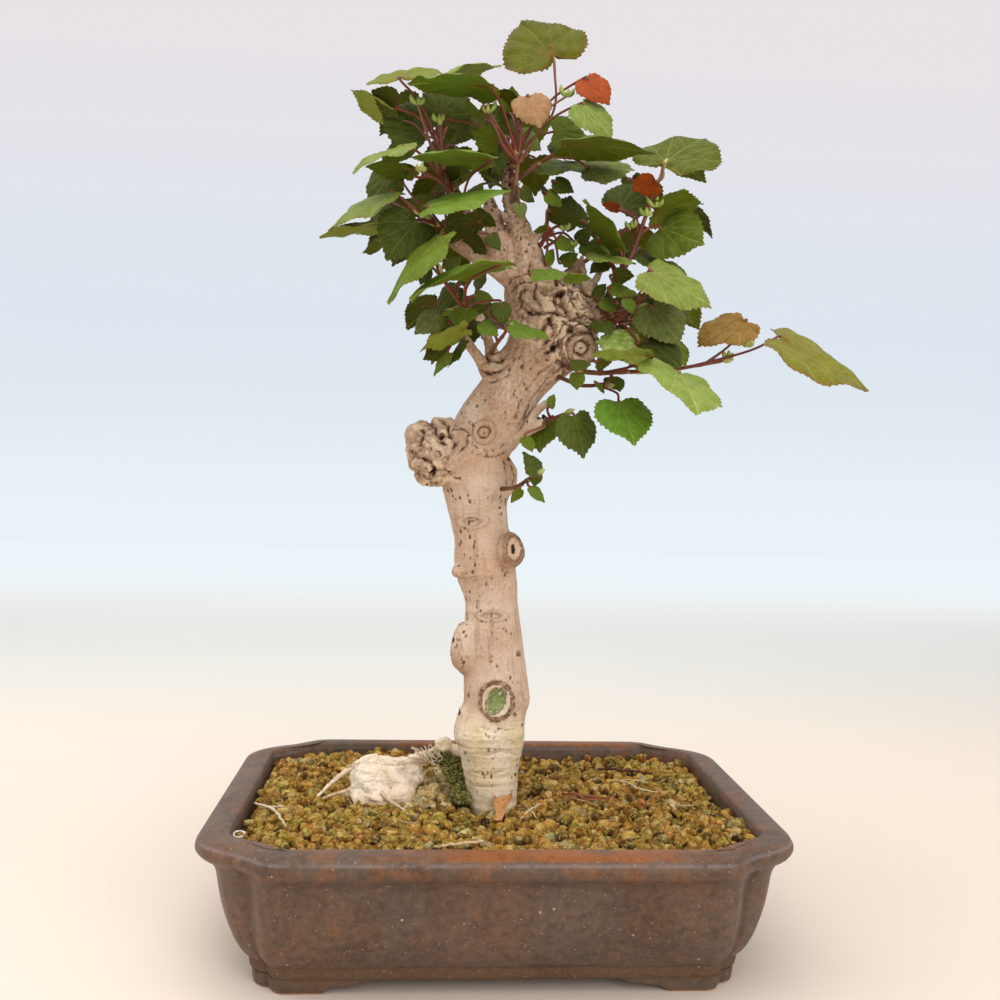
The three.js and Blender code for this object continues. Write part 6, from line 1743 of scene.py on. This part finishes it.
def make_granules():
    roll = random.Random(11)
    small, large = granule_shapes(2), granule_shapes(3)
    colours = [tint(c) for c, n in GRANULE_COLOURS for _ in range(n)]
    builds = {"front": Build(), "back": Build()}
    pitch = GRANULE_PITCH
    spots = []
    lines = int(2 * RIM_HALF_WIDTH / (pitch * 0.866)) + 1
    for j in range(lines):
        for i in range(int(2 * RIM_HALF_LENGTH / pitch) + 1):
            x = -RIM_HALF_LENGTH + (i + 0.5 * (j % 2)) * pitch + roll.uniform(-1.9, 1.9)
            y = -RIM_HALF_WIDTH + j * pitch * 0.866 + roll.uniform(-1.9, 1.9)
            spots.append((x, y, 2.5 + 3.3 * roll.random() ** 1.8, roll.uniform(-2.2, 0.9), None))
    for _ in range(LOOSE_GRANULES):
        x, y = roll.uniform(-155, 155), roll.uniform(-113, 113)
        spots.append((x, y, roll.uniform(1.7, 4.6), roll.uniform(1.4, 3.6), None))
    for _ in range(PEBBLE_TRIES):
        px, py = roll.uniform(402, 450), roll.uniform(768, 812)
        if (px - 402) / 48 + (812 - py) / 60 > 1.35:
            continue
        x, y, _ = on_soil(px, py)
        heap = 1.5 + 10 * math.exp(-(((px - 431) / 13) ** 2)) * roll.random()
        spots.append((x, y, roll.uniform(2, 3.9), heap, roll.choice(PALE_COLOURS)))
    for x, y, size, rise, pale in spots:
        if not inside(INNER_EDGE, x, y, size * 0.9) or not (pale or clear_of_wood(x, y)):
            continue
        points, faces = roll.choice(large if size > 4.4 and y < -64 else small)
        stretch = np.array([roll.uniform(0.8, 1.25) for _ in range(3)])
        points = (points * stretch * size) @ turned(roll).T
        colour = np.array(tint(pale) if pale else roll.choice(colours))
        colour[:3] *= roll.uniform(1, 1.5) if pale else roll.uniform(0.72, 1.42)
        film = soft(points[:, 2] / size + waves(points + [x, y, 0], 5, 3), 0.1, 1.1) * roll.uniform(0.2, 1)
        points = points + [x, y, soil_top(x, y) - size * 0.55 + rise + 0.4]
        build = builds["front" if y < 0 else "back"]
        build.add(list(points), faces, shade=tuple(colour), film=[float(v) * (0.3 if pale else 1) for v in film])
    finish = granule_finish()
    for side, build in builds.items():
        build.finish("soil_granules_" + side, finish, "soil_granules", ["soil"], smooth=30)


def inside(ring, x, y, margin):
    """True if a place is inside the outline by more than the margin."""
    p = np.array([x, y])
    a, b = ring, np.roll(ring, -1, axis=0)
    crosses = (a[:, 1] > y) != (b[:, 1] > y)
    with np.errstate(divide="ignore", invalid="ignore"):
        at = a[:, 0] + (y - a[:, 1]) / (b[:, 1] - a[:, 1]) * (b[:, 0] - a[:, 0])
    odd = np.count_nonzero(crosses & (x < at)) % 2 == 1
    if not odd:
        return False
    along = b - a
    t = np.clip(((p - a) * along).sum(1) / np.maximum((along**2).sum(1), 1e-9), 0, 1)
    return np.min(np.linalg.norm(a + along * t[:, None] - p, axis=1)) > margin


# Moss
MOSS_PARTS = [
    ((463, 801, -19), (3.6, 5, 5)), ((461, 793, -13), (4.4, 6, 6)), ((458, 784, -6), (5.4, 7, 7)),
    ((455, 775, 0), (6, 8, 7)), ((452, 767, 4), (6, 8, 6)), ((446, 760, 7), (5.6, 7, 5)),
    ((438, 758, 9), (4.4, 6, 3.6)),
]


MOSS_THREADS = 560


def make_moss():
    roll = random.Random(5)
    build = Build()
    greens = [tint(c) for c in ("#86803c", "#989048", "#aca45e", "#686629", "#c2b982", "#d2c896")]
    start, faces = ball(4)
    for place, half in MOSS_PARTS:
        centre = seen(*place)
        far = 1 + 0.14 * waves(start, 0.4, place[0])
        build.add(list(centre + start * half * far[:, None]), faces, shade=tint("#3d3f1c"))
        for _ in range(MOSS_THREADS):
            way = unit(np.array([roll.gauss(0, 1), roll.gauss(0, 1), abs(roll.gauss(0, 0.8)) - 0.1]))
            at = centre + way * half * 0.97
            out = unit(way / half + np.array([roll.gauss(0, 0.03) for _ in range(3)]))
            out = unit(out + [roll.gauss(0, 0.4), roll.gauss(0, 0.4), 0.2])
            long = roll.uniform(1.2, 3.4)
            sway = np.array([roll.gauss(0, 0.4), roll.gauss(0, 0.4), -0.3]) * long * 0.5
            path = [at, at + out * long * 0.5 + sway * 0.3, at + out * long + sway]
            tip = roll.choice(greens)
            tube(build, path, [0.34, 0.28, 0.1], 3, shade=[tint("#464a20")] * 3 + [tip] * 6)
    return build.finish("moss_threads", moss_finish(), "moss", ["moss_cushion"], smooth=60)


# Loose bits on the soil: points as x, y and height above the soil, thickness, colour
BITS = [
    ([(254, 803, 3), (264, 806, 4.5), (275, 811, 4.5), (286, 826, 3)], 0.9, "#d9c9a8"),
    ([(270, 808, 4), (279, 806, 4), (285, 808, 3)], 0.7, "#d9c9a8"),
    ([(434, 847, 3.6), (458, 844, 4.2), (484, 841, 3.6)], 0.9, "#d8b98a"),
    ([(562, 793, 3.4), (584, 796, 4.6), (609, 799, 3.6)], 1.0, "#8a4a32"),
    ([(560, 797, 3.2), (575, 795, 4.6), (590, 800, 4.2), (604, 797, 3.4)], 0.6, "#a56a4a"),
    ([(568, 797, 3.4), (586, 802, 4.2), (598, 806, 3.6)], 0.7, "#b98a60"),
    ([(521, 819, 3), (530, 810, 3.8), (546, 800, 3)], 0.7, "#d6c4a0"),
    ([(524, 804, 3), (532, 812, 3.8), (536, 818, 3)], 0.5, "#c9a77c"),
    ([(598, 769, 3.4), (622, 770, 4.2), (652, 774, 3)], 0.9, "#4c3020"),
    ([(612, 780, 3), (628, 783, 4), (640, 789, 3.6), (660, 792, 2)], 0.7, "#dcc8a4"),
    ([(618, 781, 3), (634, 780, 3.6), (648, 783, 3)], 0.6, "#d4bf98"),
    ([(398, 820, 3), (410, 823, 3.6), (420, 822, 3)], 0.5, "#b9a07c"),
    ([(672, 800, 3), (684, 806, 3.6), (694, 805, 3)], 0.5, "#c9b48c"),
]


FLAKE = [
    (494, 795), (499, 798), (504, 796), (512, 793), (512, 799), (508, 806), (505, 812), (502, 820), (495, 821),
    (496, 812), (493, 803),
]


HAIR_ROOTS = 26


def on_soil(px, py, rise=0.0):
    """The place on the soil, or above it, that a point of the front view shows."""
    ray = LOOK * FOCAL + RIGHT * (px - HALF_VIEW) + UP * (HALF_VIEW - py)
    level = soil_top(0, 0)
    for _ in range(4):
        place = EYE + ray * ((level + rise - EYE[2]) / ray[2])
        level = soil_top(place[0], place[1])
    return place


def make_bits():
    roll = random.Random(21)
    build = Build()
    for places, thick, colour in BITS:
        path = smooth_line([on_soil(*p) for p in places], 6)
        path = [p + [roll.gauss(0, 0.25) for _ in range(3)] for p in path]
        radii = [thick * (0.55 + 0.45 * math.sin(math.pi * (i + 1.5) / (len(path) + 2))) for i in range(len(path))]
        tube(build, path, radii, 7, shade=tint(colour))
    # the white ring-shaped bit
    ring_at = on_soil(239, 834, 3.4)
    ring = [ring_at + [3.1 * math.cos(a), 3.1 * math.sin(a), 0.8 * math.sin(a)] for a in np.linspace(0, 5.6, 18)]
    tube(build, ring, 0.55, 6, shade=tint("#e8e2d4"))
    # hair roots over the bridge between the surface root and the trunk
    for _ in range(HAIR_ROOTS):
        x, y = roll.uniform(424, 446), roll.uniform(754, 766)
        lean = (x - 440) * 0.5 + roll.gauss(0, 4)
        depth = roll.uniform(-2, 6)
        path = [(x, y, depth)]
        for k in range(3):
            path.append((path[-1][0] + lean * 0.4 + roll.gauss(0, 1.8), path[-1][1] - roll.uniform(1, 5), depth - k))
        tube(build, smooth_line([seen(*q) for q in path], 4), 0.36, 5, shade=tint("#ddd0b8"))
    # thin roots that spread from the surface root over the granules
    for places in (
        [(-72, -8, 82), (-66, -20, 80), (-58, -34, 79.5), (-54, -44, 79)],
        [(-84, -2, 78), (-78, -14, 79.4), (-70, -20, 79)],
        [(-90, 4, 82), (-98, -2, 80), (-106, -8, 79.4), (-112, -18, 79)],
    ):
        path = smooth_line([np.array(p) for p in places], 6)
        tube(build, path, np.linspace(1.5, 0.5, len(path)), 7, shade=tint("#d9bd9c"))
    # torn flake of bark that leans on the trunk's foot
    front, back = [], []
    for px, py in FLAKE:
        depth = lerp(on_soil(px, 822, 2.5)[1], -31, clamp((822 - py) / 22)) + 0.9 * math.sin(px * 0.5)
        front.append(seen(px, py, depth - 0.5))
        back.append(seen(px, py, depth + 0.5))
    n = len(FLAKE)
    faces = [list(range(n))[::-1], [n + i for i in range(n)]]
    faces += [[i, (i + 1) % n, n + (i + 1) % n, n + i] for i in range(n)]
    build.add(front + back, faces, shade=tint("#c48a58"))
    return build.finish("loose_twigs_and_roots", twig_finish(), "bark", smooth=50)


# Setting
def make_floor():
    bpy.ops.mesh.primitive_plane_add(size=1, location=(0, 0, 0))
    floor = bpy.context.object
    floor.name = "studio_floor"
    alone(floor)
    bpy.ops.object.mode_set(mode="EDIT")
    bpy.ops.mesh.select_all(action="SELECT")
    bpy.ops.transform.resize(value=(9, 7, 1))
    bpy.ops.mesh.select_all(action="DESELECT")
    mesh = bmesh.from_edit_mesh(floor.data)
    for edge in mesh.edges:
        edge.select = all(v.co.y > 3 for v in edge.verts)
    bmesh.update_edit_mesh(floor.data)
    bpy.ops.mesh.extrude_region_move(TRANSFORM_OT_translate={"value": (0, 0, 5)})
    bpy.ops.mesh.select_all(action="DESELECT")
    mesh = bmesh.from_edit_mesh(floor.data)
    for edge in mesh.edges:
        edge.select = all(v.co.y > 3 and abs(v.co.z) < 0.01 for v in edge.verts)
    bmesh.update_edit_mesh(floor.data)
    bpy.ops.mesh.bevel(offset=1.6, segments=16)
    bpy.ops.object.mode_set(mode="OBJECT")
    shade_round(floor, 60)
    floor.data.materials.append(backdrop_finish())


def add_light(name, place, aim, size, power, colour=(1, 1, 1)):
    lamp = bpy.data.lights.new(name, "AREA")
    lamp.shape = "RECTANGLE"
    lamp.size, lamp.size_y = size
    lamp.energy = power
    lamp.color = colour
    holder = bpy.data.objects.new(name, lamp)
    bpy.context.scene.collection.objects.link(holder)
    holder.location = place
    holder.rotation_euler = (Vector(aim) - Vector(place)).to_track_quat("-Z", "Y").to_euler()


def make_light():
    add_light("sky_panel", (-0.2, -0.3, 1.75), (0, 0, 0.2), (2.2, 1.6), 27, (1, 0.98, 0.95))
    add_light("front_panel", (0.75, -1.6, 0.8), (0, 0, 0.25), (1.1, 1.0), 13, (0.97, 0.98, 1))
    add_light("left_panel", (-1.7, 0.1, 0.7), (0, 0, 0.25), (0.9, 1.2), 5, (0.97, 0.98, 1))
    world = bpy.data.worlds.new("soft_room")
    bpy.context.scene.world = world
    world.use_nodes = True
    world.node_tree.nodes["Background"].inputs[0].default_value = (0.93, 0.95, 1, 1)
    world.node_tree.nodes["Background"].inputs[1].default_value = 0.55


def make_camera():
    data = bpy.data.cameras.new("front_camera")
    data.sensor_width = 36
    data.sensor_fit = "AUTO"
    data.lens = FOCAL * 36 / (2 * HALF_VIEW)
    data.clip_end = 30
    camera = bpy.data.objects.new("front_camera", data)
    bpy.context.scene.collection.objects.link(camera)
    axes = Matrix((RIGHT, UP, -LOOK)).transposed().to_4x4()
    axes.translation = Vector(EYE * MM + MIDDLE)
    camera.matrix_world = axes
    bpy.context.scene.camera = camera


bpy.context.scene.view_settings.view_transform = "Standard"
bpy.context.scene.view_settings.look = "None"
INNER_EDGE = np.array([p[:2] for p in pot_ring(19.9, 0)])
LEAF = leaf_finish()
STALK = stalk_finish()

make_camera()
make_floor()
make_light()
make_pot()
make_tree()
make_soil_bed()
make_granules()
make_moss()
make_bits()
for number, (name, path, leaves, thick) in enumerate(SPRAYS + BACK_SPRAYS):
    make_spray(name, path, leaves, thick, random.Random(100 + number))
screen = screen_plastic()
for node in ("drain_screen_left", "drain_screen_right"):
    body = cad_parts[node]
    body.data.materials.clear()
    body.data.materials.append(screen)
